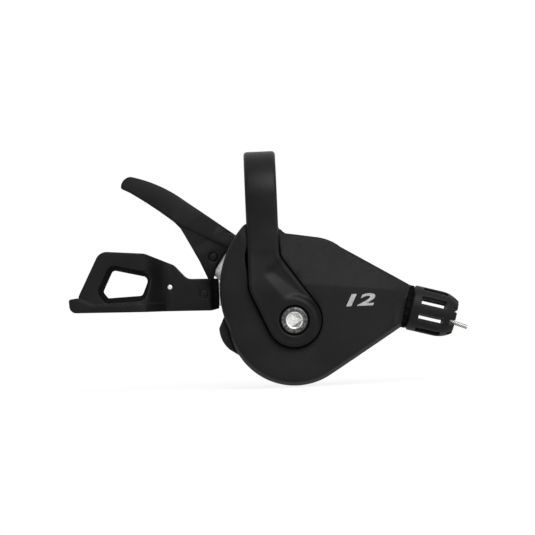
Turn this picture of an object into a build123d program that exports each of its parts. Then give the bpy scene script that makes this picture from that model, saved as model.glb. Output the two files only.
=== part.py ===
"""Trigger gear shifter for a bicycle handlebar.

A band clamp carries a two-shell housing. Inside, a cable drum and its ratchet turn on one axle with two
levers: a thumb lever that winds the cable in, tooth by tooth, and a finger lever that lets it out again.

Frame: the bar runs along X through the origin, +Y points away from the clamp bolt's head, +Z is up.
"""
import os
from math import acos, atan2, cos, degrees, radians, sin, sqrt, tan

from build123d import *

os.makedirs("parts", exist_ok=True)

# Handlebar clamp: a band round a 22.2 mm bar, with two tabs drawn together by the clamp bolt
bar_radius = 11.1
band_wall = 2.6
band_width = 9.0
arm_thick = 3.3
rear_tab_thick = 2.4
tab_gap = 0.8
arm_boss_radius = 7.7
arm_shoulder_z = -16.5
arm_heel_z = -25.5
arm_knee_z = -22.5
arm_heel_radius = 8.0
arm_shoulder_radius = 5.0

# Clamp bolt, M5 with a low head and a 4 mm hexagon socket
bolt_radius = 2.45
bolt_head_radius = 3.75
bolt_head_thick = 1.9
bolt_socket_flats = 4.0
bolt_socket_depth = 1.5
counterbore_radius = 4.35
counterbore_depth = 2.0
bolt_reach = 11.0

# Main axle, hollow at the front for the clamp bolt and threaded at the back for its nut
axle_x = 7.9
axle_z = -34.6
axle_radius = 3.6
axle_front_radius = 4.4
axle_thread_radius = 3.0
run_gap = 0.06

# Depths along Y, stacked from the floor of the front cover to the nut
floor_y = -8.0
floor_thick = 1.6
seat_gap = 0.1
base_thick = 1.8
side_gap = 0.4
drum_width = 5.2
lever_offset = 3.2
plate_thick = 1.6
spring_room = 1.4
pawl_room = 2.2
washer_thick = 0.8
nut_thick = 2.6
nut_flats = 10.0
paddle_skin = 1.1
slot_gap = 0.4

# Cable and drum
cable_slope = 15.6
drum_pitch_radius = 10.9
wire_radius = 0.6
drum_flange_radius = 12.6
drum_hub_radius = 5.4
nipple_radius = 2.0
nipple_length = 3.6
nipple_angle = 176.0

# Ratchet wheel and its two equal pawls
tooth_count = 20
tooth_tip_radius = 13.0
tooth_depth = 1.6
winding_tooth_angle = 88.0
position_tooth_angle = -2.0
pawl_pivot_radius = 15.4
pawl_pivot_lag = 26.0
pawl_lift = 13.0
pawl_boss_radius = 2.0
pawl_nose_gap = 0.35
pin_radius = 1.0

# Housing shells, outline measured from the axle
housing_radius = 18.5
housing_wall = 1.8
cover_front_y = -14.0
cover_crown_radius = 116.0
cover_edge_radius = 2.0
rear_edge_radius = 1.2
rear_top_z = -12.8
rear_slope = 25.0
rear_slope_x = 12.0
saddle_gap = 0.5
channel_gap = 0.35
left_wall_foot_angle = 187.0
wall_blend_radius = 9.0
left_wall_middle = (-20.7, 9.5)
crown_left = (-12.8, 27.7)
crown_right = (-3.0, 24.8)
flare_height = 1.8
flare_length = 2.4
shoulder_start = (7.3, 23.1)
shoulder_end = (14.0, 20.0)
nose_reach = 29.8
nose_half_height = 6.1
nose_block_reach = 22.0
crease_start = (2.1, 10.2)
crease_end = (32.0, 4.9)
facet_fall = 3.6
facet_span = 11.3
boss_radius = 2.4
screw_radius = 1.05
screw_head_radius = 1.5
screw_length = 9.0
screw_head_thick = 1.5
foot_screw_angle = 235.0

# Barrel adjuster in the nose
barrel_radius = 3.4
barrel_back_reach = 22.6
collar_radius = 5.7
collar_length = 1.4
knob_radius = 6.45
knob_end_radius = 4.6
knob_length = 13.2
knob_taper_start = 8.0
knob_rim = 2.4
knob_slot_end = 9.8
knob_bore_radius = 4.4
knob_mouth_radius = 3.0
knob_slot_width = 2.4
knob_slot_count = 8
knob_turn = 4.0
notch_depth = 1.6
wire_bore_radius = 1.2
wire_droop = 1.57
wire_bend_start = 33.0
wire_end = 48.5

# Levers
thumb_rivet = (-22.4, 18.8)
release_rivet = (-25.4, 8.3)
release_pin = (-35.1, 10.7)
release_pin_radius = 0.75
rivet_radius = 1.15
rivet_proud = 0.15
thumb_arm_radius = 3.7
release_arm_radius = 3.6
release_elbow = (-15.5, 8.2)
web_thick = 1.4
blade_depth = 7.5
blade_proud = 0.6
blade_bend_start = 5.4
blade_bend_middle = 11.0
blade_bend_turn = 113.0
blade_rise = 6.5
bar_clearance = 1.0
frame_step = 7.0
frame_step_x = -42.0
frame_back_step = 3.0
window_draft = 16.0

# Springs and small hardware
lever_spring_wire = 0.9
pawl_spring_wire = 0.5
spring_turn = 210.0
spiral_half_turns = 6
spiral_step = 0.45
spiral_strip = 0.4
pin_head_thick = 0.6
clip_thick = 0.4

# Depths that follow from the stack
floor_front_y = floor_y - floor_thick
rear_tab_back_y = floor_front_y - seat_gap
rear_tab_front_y = rear_tab_back_y - rear_tab_thick
arm_back_y = rear_tab_front_y - tab_gap
arm_front_y = arm_back_y - arm_thick
base_back_y = floor_y + base_thick
drum_front_y = base_back_y + side_gap
drum_back_y = drum_front_y + drum_width
cable_y = (drum_front_y + drum_back_y) / 2
release_front_y = drum_back_y + lever_offset
release_back_y = release_front_y + plate_thick
ratchet_front_y = release_back_y + spring_room
ratchet_back_y = ratchet_front_y + plate_thick
thumb_front_y = ratchet_back_y + pawl_room
thumb_back_y = thumb_front_y + plate_thick
washer_front_y = thumb_back_y + seat_gap
nut_front_y = washer_front_y + washer_thick
rear_y = nut_front_y + nut_thick
parting_y = release_front_y - paddle_skin - slot_gap

# The cable runs straight from the top of the drum to the adjuster
cable_dir = Vector(cos(radians(cable_slope)), 0, -sin(radians(cable_slope)))
cable_normal = Vector(sin(radians(cable_slope)), 0, cos(radians(cable_slope)))
axle_point = Vector(axle_x, 0, axle_z)
tangent_point = axle_point + cable_normal * drum_pitch_radius + Vector(0, cable_y, 0)


def depth_plane(y):
    """Sketch plane at depth y that faces the bolt's head: local x is X and local y is Z."""
    return Plane.XZ.offset(-y)


def axle_plane(y, turn=0.0):
    """Like depth_plane, with its origin on the axle and turned about it."""
    return Plane(
        origin=(axle_x, y, axle_z),
        x_dir=(cos(radians(turn)), 0, sin(radians(turn))),
        z_dir=(0, -1, 0),
    )


def cable_plane(reach):
    """Plane across the cable, at a distance along it from where it leaves the drum."""
    return Plane(origin=tangent_point + cable_dir * reach, x_dir=(0, 1, 0), z_dir=cable_dir)


def cable_section(reach):
    """Plane through the cable's line: local x runs along it and local y is the radius from it."""
    return Plane(origin=tangent_point + cable_dir * reach, x_dir=cable_dir, z_dir=(0, -1, 0))


def polar(radius, angle):
    """Point at a radius and an angle in degrees."""
    return (radius * cos(radians(angle)), radius * sin(radians(angle)))


def from_cable(reach, side):
    """Point beside the cable's line, in the axle plane's coordinates."""
    point = cable_normal * (drum_pitch_radius + side) + cable_dir * reach
    return (point.X, point.Z)


def touch_point(point, centre, radius, side):
    """Where a line from a point touches a circle, on its left for side 1 and on its right for side -1."""
    away = Vector(*point) - Vector(*centre)
    turn = degrees(atan2(away.Y, away.X)) + side * degrees(acos(radius / away.length))
    touch = Vector(*centre) + Vector(*polar(radius, turn))
    return (touch.X, touch.Y)


def link(start, start_radius, end, end_radius):
    """Adds two discs joined by their outer tangents to the sketch in hand."""
    span = Vector(*end) - Vector(*start)
    turn = degrees(atan2(span.Y, span.X))
    lean = degrees(acos((start_radius - end_radius) / span.length))
    start_left = Vector(*start) + Vector(*polar(start_radius, turn + lean))
    end_left = Vector(*end) + Vector(*polar(end_radius, turn + lean))
    end_right = Vector(*end) + Vector(*polar(end_radius, turn - lean))
    start_right = Vector(*start) + Vector(*polar(start_radius, turn - lean))
    Polygon(start_left, end_left, end_right, start_right, align=None)
    with Locations(start):
        Circle(start_radius)
    with Locations(end):
        Circle(end_radius)


axle_axis = Axis((axle_x, 0, axle_z), (0, 1, 0))
cable_axis = Axis(tangent_point, cable_dir)
profile_plane = Plane(origin=(axle_x, 0, axle_z), x_dir=(1, 0, 0), z_dir=(0, 0, 1))


def arm_sketch(plane, margin=0.0):
    """Front outline of the clamp arm: the band, then a slanting arm that ends round the bolt."""
    half = band_width / 2
    with BuildSketch(plane) as outline:
        Polygon(
            (-half, arm_shoulder_z),
            (half, arm_shoulder_z),
            touch_point((half, arm_shoulder_z), (axle_x, axle_z), arm_boss_radius, -1),
            touch_point((-half, arm_heel_z), (axle_x, axle_z), arm_boss_radius, 1),
            (-half, arm_heel_z),
            align=None,
        )
        with Locations((axle_x, axle_z)):
            Circle(arm_boss_radius)
        top = bar_radius + band_wall + 1
        with Locations((0, (top + arm_shoulder_z) / 2)):
            Rectangle(band_width, top - arm_shoulder_z)
        fillet(outline.vertices().sort_by_distance((-half, arm_heel_z))[0], arm_heel_radius)
        fillet(outline.vertices().sort_by_distance((half, arm_shoulder_z))[0], arm_shoulder_radius)
        if margin:
            offset(amount=margin)
    return outline.sketch


def housing_sketch(y, inset=0.0):
    """Outline that both covers share: round below the axle, a wall on the levers' side and a nose."""
    nose_top = from_cable(nose_reach, nose_half_height)
    nose_foot = from_cable(nose_reach, -nose_half_height)
    foot_touch = touch_point(nose_foot, (0, 0), housing_radius, -1)
    touch_angle = degrees(atan2(foot_touch[1], foot_touch[0]))
    left_foot = polar(housing_radius, left_wall_foot_angle)
    with BuildSketch(axle_plane(y)) as outline:
        with BuildLine():
            Line(nose_foot, foot_touch)
            CenterArc((0, 0), housing_radius, touch_angle, left_wall_foot_angle - 360 - touch_angle)
            ThreePointArc(left_foot, left_wall_middle, crown_left)
            Line(crown_left, crown_right)
            Line(crown_right, shoulder_start)
            TangentArc(
                shoulder_start, shoulder_end, tangent=Vector(*shoulder_start) - Vector(*crown_right)
            )
            Line(shoulder_end, nose_top)
            Line(nose_top, nose_foot)
        make_face()
        fillet(outline.vertices().sort_by_distance(left_foot)[0], wall_blend_radius)
        if inset:
            offset(amount=-inset, kind=Kind.TANGENT)
    return outline.sketch


# Clamp band: ring, arm and rear tab bent from one strip, split below the bar
with BuildPart() as clamp_band:
    ring_radius = bar_radius + band_wall
    boss_foot_z = axle_z - arm_boss_radius - 1
    side_reach = axle_x + arm_boss_radius + 1
    with BuildSketch(Plane.YZ.offset(-side_reach)):
        Circle(ring_radius)
        Polygon(
            polar(bar_radius + 1.2, 200),
            polar(bar_radius + 6.0, 226),
            (arm_front_y, arm_knee_z - 3.0),
            (arm_front_y, boss_foot_z),
            (arm_back_y, boss_foot_z),
            (arm_back_y, arm_knee_z),
            polar(bar_radius + 3.7, 231),
            polar(bar_radius + 0.3, 218),
            align=None,
        )
        Polygon(
            polar(bar_radius, 228),
            polar(bar_radius + 3.8, 235),
            (rear_tab_front_y, arm_knee_z),
            (rear_tab_front_y, boss_foot_z),
            (rear_tab_back_y, boss_foot_z),
            (rear_tab_back_y, arm_knee_z + 0.8),
            polar(bar_radius + 2.4, 243),
            polar(bar_radius - 0.6, 239),
            align=None,
        )
        Polygon(
            polar(bar_radius - 0.4, 220),
            polar(bar_radius + 3.75, 231.2),
            polar(bar_radius + 3.9, 234.8),
            polar(bar_radius - 0.4, 226),
            align=None,
            mode=Mode.SUBTRACT,
        )
        Circle(bar_radius, mode=Mode.SUBTRACT)
    extrude(amount=2 * side_reach)
    front_outline = arm_sketch(depth_plane(ring_radius + 1))
    extrude(front_outline, amount=ring_radius + 2 - arm_front_y, mode=Mode.INTERSECT)
    with BuildSketch(axle_plane(rear_tab_back_y + 1)):
        Circle(bolt_radius + 0.3)
    extrude(amount=rear_tab_back_y + 1 - arm_front_y + 1, mode=Mode.SUBTRACT)
    with BuildSketch(axle_plane(arm_front_y + counterbore_depth)):
        Circle(counterbore_radius)
    extrude(amount=counterbore_depth + 1, mode=Mode.SUBTRACT)
clamp_band.part.label = "clamp_band"
export_step(clamp_band.part, "parts/clamp_band.step")

# Clamp bolt: low cap head with a hexagon socket, its shank in the hollow axle
with BuildPart() as clamp_bolt:
    head_seat_y = arm_front_y + counterbore_depth
    with BuildSketch(axle_plane(head_seat_y)):
        Circle(bolt_head_radius)
    extrude(amount=bolt_head_thick)
    chamfer(clamp_bolt.faces().sort_by(Axis.Y)[0].edges(), 0.3)
    with BuildSketch(axle_plane(head_seat_y + bolt_reach)):
        Circle(bolt_radius)
    extrude(amount=bolt_reach)
    with BuildSketch(axle_plane(head_seat_y - bolt_head_thick + bolt_socket_depth)):
        RegularPolygon(bolt_socket_flats / 2, 6, major_radius=False)
    extrude(amount=bolt_socket_depth, mode=Mode.SUBTRACT)
clamp_bolt.part.label = "clamp_bolt"
export_step(clamp_bolt.part, "parts/clamp_bolt.step")

# Main axle: a spigot through the base plate, a plain journal and a threaded end
with BuildPart() as main_axle:
    with BuildSketch(profile_plane):
        with BuildLine():
            Polyline(
                (0, rear_tab_back_y),
                (axle_front_radius, rear_tab_back_y),
                (axle_front_radius, base_back_y),
                (axle_radius + 1.6, base_back_y),
                (axle_radius + 1.6, drum_front_y - run_gap),
                (axle_radius, drum_front_y - run_gap),
                (axle_radius, washer_front_y),
                (axle_thread_radius, washer_front_y),
                (axle_thread_radius, rear_y - 0.4),
                (0, rear_y - 0.4),
                close=True,
            )
        make_face()
    revolve(axis=axle_axis)
    with BuildSketch(axle_plane(head_seat_y + bolt_reach + 1)):
        Circle(bolt_radius + run_gap)
    extrude(amount=bolt_reach + 2, mode=Mode.SUBTRACT)
main_axle.part.label = "main_axle"
export_step(main_axle.part, "parts/main_axle.step")

# Base plate: steel sheet on the cover's floor that carries the axle and the position pawl's pin
position_pivot = polar(pawl_pivot_radius, position_tooth_angle - pawl_pivot_lag)
winding_pivot = polar(pawl_pivot_radius, winding_tooth_angle - pawl_pivot_lag)
with BuildPart() as base_plate:
    with BuildSketch(axle_plane(base_back_y)):
        link((0, 0), drum_flange_radius, position_pivot, pawl_boss_radius + 1)
        Circle(axle_front_radius, mode=Mode.SUBTRACT)
        with Locations(position_pivot):
            Circle(pin_radius, mode=Mode.SUBTRACT)
    extrude(amount=base_thick)
base_plate.part.label = "base_plate"
export_step(base_plate.part, "parts/base_plate.step")

# Winding drum: a grooved wheel with a recess for its spiral spring and a hub that carries the ratchet
spring_recess_radius = 9.0
spring_recess_depth = 2.4
hub_spigot_radius = axle_radius + 1.2
with BuildPart() as winding_drum:
    groove_radius = wire_radius + 0.1
    with BuildSketch(profile_plane):
        with BuildLine():
            Polyline(
                (axle_radius + run_gap, drum_front_y),
                (drum_hub_radius, drum_front_y),
                (drum_hub_radius, drum_front_y + spring_recess_depth),
                (spring_recess_radius, drum_front_y + spring_recess_depth),
                (spring_recess_radius, drum_front_y),
                (drum_flange_radius, drum_front_y),
                (drum_flange_radius, drum_back_y),
                (drum_hub_radius, drum_back_y),
                (drum_hub_radius, ratchet_front_y),
                (hub_spigot_radius, ratchet_front_y),
                (hub_spigot_radius, ratchet_back_y),
                (axle_radius + run_gap, ratchet_back_y),
                close=True,
            )
        make_face()
        with Locations((drum_pitch_radius, cable_y)):
            Circle(groove_radius, mode=Mode.SUBTRACT)
        with Locations(((drum_pitch_radius + drum_flange_radius + 1) / 2, cable_y)):
            Rectangle(drum_flange_radius + 1 - drum_pitch_radius, 2 * groove_radius, mode=Mode.SUBTRACT)
    revolve(axis=axle_axis)
    nipple_place = axle_plane(cable_y, nipple_angle)
    pocket_plane = Plane(
        origin=nipple_place.from_local_coords((drum_pitch_radius, 0, 0)),
        x_dir=(0, 1, 0),
        z_dir=nipple_place.y_dir,
    )
    with BuildSketch(pocket_plane):
        Circle(nipple_radius + 0.15)
        with Locations((0, nipple_radius)):
            Rectangle(2 * nipple_radius + 0.3, 2 * nipple_radius)
    extrude(amount=nipple_length + 0.3, mode=Mode.SUBTRACT)
winding_drum.part.label = "winding_drum"
export_step(winding_drum.part, "parts/winding_drum.step")

# Cable nipple: the cast end of the inner wire, in its pocket in the drum
with BuildPart() as cable_nipple:
    with BuildSketch(pocket_plane.offset(0.15)):
        Circle(nipple_radius)
    extrude(amount=nipple_length)
cable_nipple.part.label = "cable_nipple"
export_step(cable_nipple.part, "parts/cable_nipple.step")

# Ratchet wheel: saw teeth whose steep flanks face against the winding direction
with BuildPart() as ratchet_wheel:
    tooth_pitch = 360 / tooth_count
    tooth_root_radius = tooth_tip_radius - tooth_depth
    with BuildSketch(axle_plane(ratchet_back_y, winding_tooth_angle)):
        Circle(tooth_root_radius)
        with PolarLocations(0, tooth_count):
            Polygon(
                (0, 0),
                polar(tooth_tip_radius, 0),
                polar(tooth_root_radius, tooth_pitch),
                align=None,
            )
        Circle(hub_spigot_radius, mode=Mode.SUBTRACT)
    extrude(amount=plate_thick)
ratchet_wheel.part.label = "ratchet_wheel"
export_step(ratchet_wheel.part, "parts/ratchet_wheel.step")


def pawl_sketch(tooth_angle):
    """Pawl held clear of the tooth at an angle: a nose that butts on the flank and a pivot boss."""
    pivot = Vector(*polar(pawl_pivot_radius, -pawl_pivot_lag))
    nose_inner = Vector(tooth_root_radius + pawl_nose_gap, -pawl_nose_gap)
    nose_outer = nose_inner + Vector(2.1, 0)
    heel = Vector(*polar(tooth_tip_radius + pawl_nose_gap, -tooth_pitch + 1.0))
    place = axle_plane(ratchet_back_y, tooth_angle)
    turned = Plane(
        origin=place.from_local_coords(pivot),
        x_dir=axle_plane(0, tooth_angle - pawl_lift).x_dir,
        z_dir=place.z_dir,
    )
    with BuildSketch(turned) as outline:
        Circle(pawl_boss_radius)
        Polygon(
            nose_inner - pivot,
            nose_outer - pivot,
            (pawl_boss_radius, 0),
            (-pawl_boss_radius, 0),
            heel - pivot,
            align=None,
        )
        Circle(pin_radius + run_gap, mode=Mode.SUBTRACT)
    return outline.sketch


# Winding pawl, carried by the thumb lever
with BuildPart() as winding_pawl:
    extrude(pawl_sketch(winding_tooth_angle), amount=plate_thick)
winding_pawl.part.label = "winding_pawl"
export_step(winding_pawl.part, "parts/winding_pawl.step")

# Position pawl, carried by its pin on the base plate
with BuildPart() as position_pawl:
    extrude(pawl_sketch(position_tooth_angle), amount=plate_thick)
position_pawl.part.label = "position_pawl"
export_step(position_pawl.part, "parts/position_pawl.step")


# Pin of the winding pawl, riveted into the thumb lever's plate
clip_gap = 0.1
with BuildPart() as winding_pawl_pin:
    with BuildSketch(axle_plane(thumb_back_y)):
        with Locations(winding_pivot):
            Circle(pin_radius)
    extrude(amount=thumb_back_y - ratchet_front_y + clip_gap)
    with BuildSketch(axle_plane(ratchet_front_y - clip_gap)):
        with Locations(winding_pivot):
            Circle(pin_radius + 0.6)
    extrude(amount=pin_head_thick)
winding_pawl_pin.part.label = "winding_pawl_pin"
export_step(winding_pawl_pin.part, "parts/winding_pawl_pin.step")

# Pin of the position pawl: riveted into the base plate, with a shoulder under the pawl and a clip over it
clip_back_y = ratchet_back_y + pawl_spring_wire + 0.6 + clip_thick
with BuildPart() as position_pawl_pin:
    with BuildSketch(axle_plane(clip_back_y + 0.3)):
        with Locations(position_pivot):
            Circle(pin_radius)
    extrude(amount=clip_back_y + 0.3 - floor_y)
    with BuildSketch(axle_plane(ratchet_front_y - clip_gap)):
        with Locations(position_pivot):
            Circle(pin_radius + 0.5)
    extrude(amount=ratchet_front_y - clip_gap - base_back_y)
position_pawl_pin.part.label = "position_pawl_pin"
export_step(position_pawl_pin.part, "parts/position_pawl_pin.step")

with BuildPart() as position_pawl_clip:
    with BuildSketch(axle_plane(clip_back_y)):
        with Locations(position_pivot):
            Circle(2 * pin_radius)
            Circle(pin_radius, mode=Mode.SUBTRACT)
            with Locations((0, pin_radius)):
                Rectangle(1.2 * pin_radius, 2 * pin_radius, mode=Mode.SUBTRACT)
    extrude(amount=clip_thick)
position_pawl_clip.part.label = "position_pawl_clip"
export_step(position_pawl_clip.part, "parts/position_pawl_clip.step")


def torsion_spring(place, centre, coil_radius, wire, start, leg):
    """Flat torsion spring: part of a turn of square wire with two straight legs that do not cross."""
    with BuildSketch(place) as outline:
        with BuildLine():
            coil = CenterArc(centre, coil_radius, start, spring_turn)
            Line(coil @ 0, (coil @ 0) - (coil % 0) * leg)
            Line(coil @ 1, (coil @ 1) + (coil % 1) * leg)
        trace(line_width=wire)
    return outline.sketch


# Return spring of the thumb lever, round the flange of its bush
bush_flange_radius = axle_radius + 1.9
with BuildPart() as thumb_lever_spring:
    spring_back_y = ratchet_back_y + slot_gap + lever_spring_wire
    coil_radius = bush_flange_radius + lever_spring_wire
    extrude(
        torsion_spring(axle_plane(spring_back_y), (0, 0), coil_radius, lever_spring_wire, 150, 5.0),
        amount=lever_spring_wire,
    )
thumb_lever_spring.part.label = "thumb_lever_spring"
export_step(thumb_lever_spring.part, "parts/thumb_lever_spring.step")

# Centring spring of the release lever, round the drum's hub
with BuildPart() as release_lever_spring:
    spring_back_y = release_back_y + (spring_room + lever_spring_wire) / 2
    coil_radius = drum_hub_radius + lever_spring_wire
    extrude(
        torsion_spring(axle_plane(spring_back_y), (0, 0), coil_radius, lever_spring_wire, 210, 5.0),
        amount=lever_spring_wire,
    )
release_lever_spring.part.label = "release_lever_spring"
export_step(release_lever_spring.part, "parts/release_lever_spring.step")

# Spiral return spring of the drum: half turns about two centres, so that it opens evenly
with BuildPart() as drum_spring:
    with BuildSketch(axle_plane(drum_front_y + spring_recess_depth - 0.2)):
        with BuildLine():
            inner = drum_hub_radius + 0.5
            for half_turn in range(spiral_half_turns):
                centre = (spiral_step if half_turn % 2 else 0, 0)
                CenterArc(centre, inner + half_turn * spiral_step, 180 * half_turn, 180)
        trace(line_width=spiral_strip)
    extrude(amount=spring_recess_depth - 0.4)
drum_spring.part.label = "drum_spring"
export_step(drum_spring.part, "parts/drum_spring.step")

# Springs of the two pawls, each round its pin behind the pawl
with BuildPart() as winding_pawl_spring:
    pawl_spring_place = axle_plane(ratchet_back_y + 0.3 + pawl_spring_wire)
    pawl_coil_radius = pin_radius + 0.2 + pawl_spring_wire / 2
    extrude(
        torsion_spring(pawl_spring_place, winding_pivot, pawl_coil_radius, pawl_spring_wire, 60, 2.6),
        amount=pawl_spring_wire,
    )
winding_pawl_spring.part.label = "winding_pawl_spring"
export_step(winding_pawl_spring.part, "parts/winding_pawl_spring.step")

with BuildPart() as position_pawl_spring:
    extrude(
        torsion_spring(pawl_spring_place, position_pivot, pawl_coil_radius, pawl_spring_wire, 225, 2.0),
        amount=pawl_spring_wire,
    )
position_pawl_spring.part.label = "position_pawl_spring"
export_step(position_pawl_spring.part, "parts/position_pawl_spring.step")

# Bush of the thumb lever: flanged, staked into the plate
bush_radius = axle_radius + 1.2
with BuildPart() as thumb_lever_bush:
    with BuildSketch(profile_plane):
        with BuildLine():
            Polyline(
                (axle_radius + run_gap, ratchet_back_y + side_gap / 2),
                (bush_flange_radius, ratchet_back_y + side_gap / 2),
                (bush_flange_radius, thumb_front_y),
                (bush_radius, thumb_front_y),
                (bush_radius, thumb_back_y),
                (axle_radius + run_gap, thumb_back_y),
                close=True,
            )
        make_face()
    revolve(axis=axle_axis)
thumb_lever_bush.part.label = "thumb_lever_bush"
export_step(thumb_lever_bush.part, "parts/thumb_lever_bush.step")

# Thumb lever plate: steel, an arm out to the paddle and a lug for the winding pawl's pin
with BuildPart() as thumb_lever_plate:
    with BuildSketch(axle_plane(thumb_back_y)):
        link((0, 0), bush_radius + 2.2, thumb_rivet, thumb_arm_radius)
        link((0, 0), bush_radius + 2.2, winding_pivot, pin_radius + 2.0)
        Circle(bush_radius, mode=Mode.SUBTRACT)
        with Locations(winding_pivot):
            Circle(pin_radius, mode=Mode.SUBTRACT)
        with Locations(thumb_rivet):
            Circle(rivet_radius, mode=Mode.SUBTRACT)
    extrude(amount=plate_thick)
thumb_lever_plate.part.label = "thumb_lever_plate"
export_step(thumb_lever_plate.part, "parts/thumb_lever_plate.step")

# Thumb lever paddle: a curved blade with a gusset web, bent back so that it passes behind the bar
web_front_y = thumb_front_y - web_thick
bend_dir = axle_plane(0, blade_bend_turn).x_dir
bend_plane = Plane(
    origin=axle_plane(0).from_local_coords(thumb_rivet),
    x_dir=bend_dir,
    z_dir=bend_dir.cross(Vector(0, 1, 0)),
)


def bent_strip(front, root_back, tip_back):
    """Section along the blade: flat at the rivet, then swept back in two slopes."""
    steps = ((-16, 0), (blade_bend_start, 0), (blade_bend_middle, blade_rise), (40, blade_rise + 6.5))
    backs = (root_back, root_back, tip_back, tip_back)
    fronts = [(along, web_front_y + rise + front) for along, rise in steps]
    rears = [(along, web_front_y + rise + back) for (along, rise), back in zip(steps, backs)]
    with BuildSketch(bend_plane.offset(-30)) as section:
        Polygon(*fronts, *reversed(rears), align=None)
    return section.sketch


blade_root_top = (-16.6, 25.4)
blade_straight_end = (-29.9, 35.2)
blade_top_middle = (-38.6, 40.5)
blade_tip_top = (-45.0, 42.7)
blade_tip_middle = (-47.2, 41.7)
blade_tip_end = (-47.9, 39.4)
blade_tip_foot = (-45.7, 38.3)
blade_foot_middle = (-39.6, 34.2)
blade_foot = (-33.1, 29.2)
web_corner = (-31.5, 27.4)
web_foot = (-24.0, 13.1)
web_heel = (-21.75, 12.9)
web_heel_middle = (-20.5, 16.6)
blade_root_foot = (-17.8, 21.2)
with BuildPart() as thumb_lever_blade:
    extrude(bent_strip(-blade_proud, web_thick, blade_depth), amount=60)
    with BuildSketch(axle_plane(60)):
        with BuildLine():
            Line(blade_root_top, blade_straight_end)
            ThreePointArc(blade_straight_end, blade_top_middle, blade_tip_top)
            ThreePointArc(blade_tip_top, blade_tip_middle, blade_tip_end)
            Line(blade_tip_end, blade_tip_foot)
            ThreePointArc(blade_tip_foot, blade_foot_middle, blade_foot)
            Line(blade_foot, blade_root_foot)
            Line(blade_root_foot, blade_root_top)
        make_face()
    extrude(amount=80, mode=Mode.INTERSECT)

with BuildPart() as thumb_lever_paddle:
    extrude(bent_strip(0, web_thick, web_thick + 0.4), amount=60)
    with BuildSketch(axle_plane(60)):
        with BuildLine():
            Line(blade_foot, web_corner)
            Line(web_corner, web_foot)
            Line(web_foot, web_heel)
            ThreePointArc(web_heel, web_heel_middle, blade_root_foot)
            Line(blade_root_foot, blade_root_top)
            Line(blade_root_top, blade_straight_end)
            Line(blade_straight_end, blade_foot)
        make_face()
    extrude(amount=80, mode=Mode.INTERSECT)
    add(thumb_lever_blade.part)
    with BuildSketch(Plane.YZ.offset(-60)):
        Circle(bar_radius + bar_clearance)
    extrude(amount=120, mode=Mode.SUBTRACT)
    with BuildSketch(axle_plane(thumb_back_y)):
        with Locations(thumb_rivet):
            Circle(rivet_radius)
    extrude(amount=plate_thick + web_thick + 1, mode=Mode.SUBTRACT)
thumb_lever_paddle.part.label = "thumb_lever_paddle"
export_step(thumb_lever_paddle.part, "parts/thumb_lever_paddle.step")

with BuildPart() as thumb_lever_rivet:
    with BuildSketch(axle_plane(thumb_back_y + rivet_proud)):
        with Locations(thumb_rivet):
            Circle(rivet_radius)
    extrude(amount=plate_thick + web_thick + 2 * rivet_proud)
thumb_lever_rivet.part.label = "thumb_lever_rivet"
export_step(thumb_lever_rivet.part, "parts/thumb_lever_rivet.step")

# Release lever plate: steel, round the drum's hub and out to the paddle
with BuildPart() as release_lever_plate:
    with BuildSketch(axle_plane(release_back_y)):
        link((0, 0), drum_hub_radius + 3.2, release_elbow, release_arm_radius)
        link(release_elbow, release_arm_radius, release_rivet, release_arm_radius - 0.1)
        link(release_rivet, release_arm_radius - 0.1, release_pin, rivet_radius + 0.8)
        Circle(drum_hub_radius + run_gap, mode=Mode.SUBTRACT)
        with Locations(release_rivet):
            Circle(rivet_radius, mode=Mode.SUBTRACT)
        with Locations(release_pin):
            Circle(release_pin_radius, mode=Mode.SUBTRACT)
    extrude(amount=plate_thick)
release_lever_plate.part.label = "release_lever_plate"
export_step(release_lever_plate.part, "parts/release_lever_plate.step")

# Release lever paddle: a windowed frame that steps towards the rider's finger, with a pad along its foot
paddle_front_y = release_front_y - paddle_skin


def stepped_strip(step, back_step, right_back):
    """Plan of the paddle: flat on the plate, then stepped forward at the frame."""
    with BuildSketch(profile_plane) as plan:
        Polygon(
            (-70, paddle_front_y - step),
            (frame_step_x, paddle_front_y - step),
            (frame_step_x + 5.5, paddle_front_y),
            (-18, paddle_front_y),
            (-18, right_back),
            (frame_step_x + 5.0, right_back),
            (frame_step_x, right_back - back_step),
            (-70, right_back - back_step),
            align=None,
        )
    return plan.sketch


def window_sketch(y):
    """Finger window in the paddle's frame: a slanting four-sided hole with one corner cut."""
    with BuildSketch(axle_plane(y)) as window:
        with BuildLine():
            FilletPolyline(
                (-53.0, 8.3),
                (-54.4, 10.1),
                (-51.3, 16.2),
                (-40.9, 13.7),
                (-43.1, 8.6),
                radius=(0.6, 1.0, 1.2, 1.4, 1.2),
                close=True,
            )
        make_face()
    return window.sketch


with BuildPart() as release_lever_pad:
    extrude(stepped_strip(frame_step + 1.4, -0.8, release_front_y), amount=30)
    with BuildSketch(axle_plane(40)):
        with BuildLine():
            FilletPolyline(
                (-21.2, 4.0),
                (-23.4, 3.5),
                (-64.0, 4.515),
                (-64.2, 8.4),
                (-61.6, 8.7),
                (-57.6, 6.5),
                (-21.2, 6.2),
                radius=(0.4, 0.8, 2.0, 0.6, 1.0, 3.0, 0.6),
                close=True,
            )
        make_face()
    extrude(amount=80, mode=Mode.INTERSECT)

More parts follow.
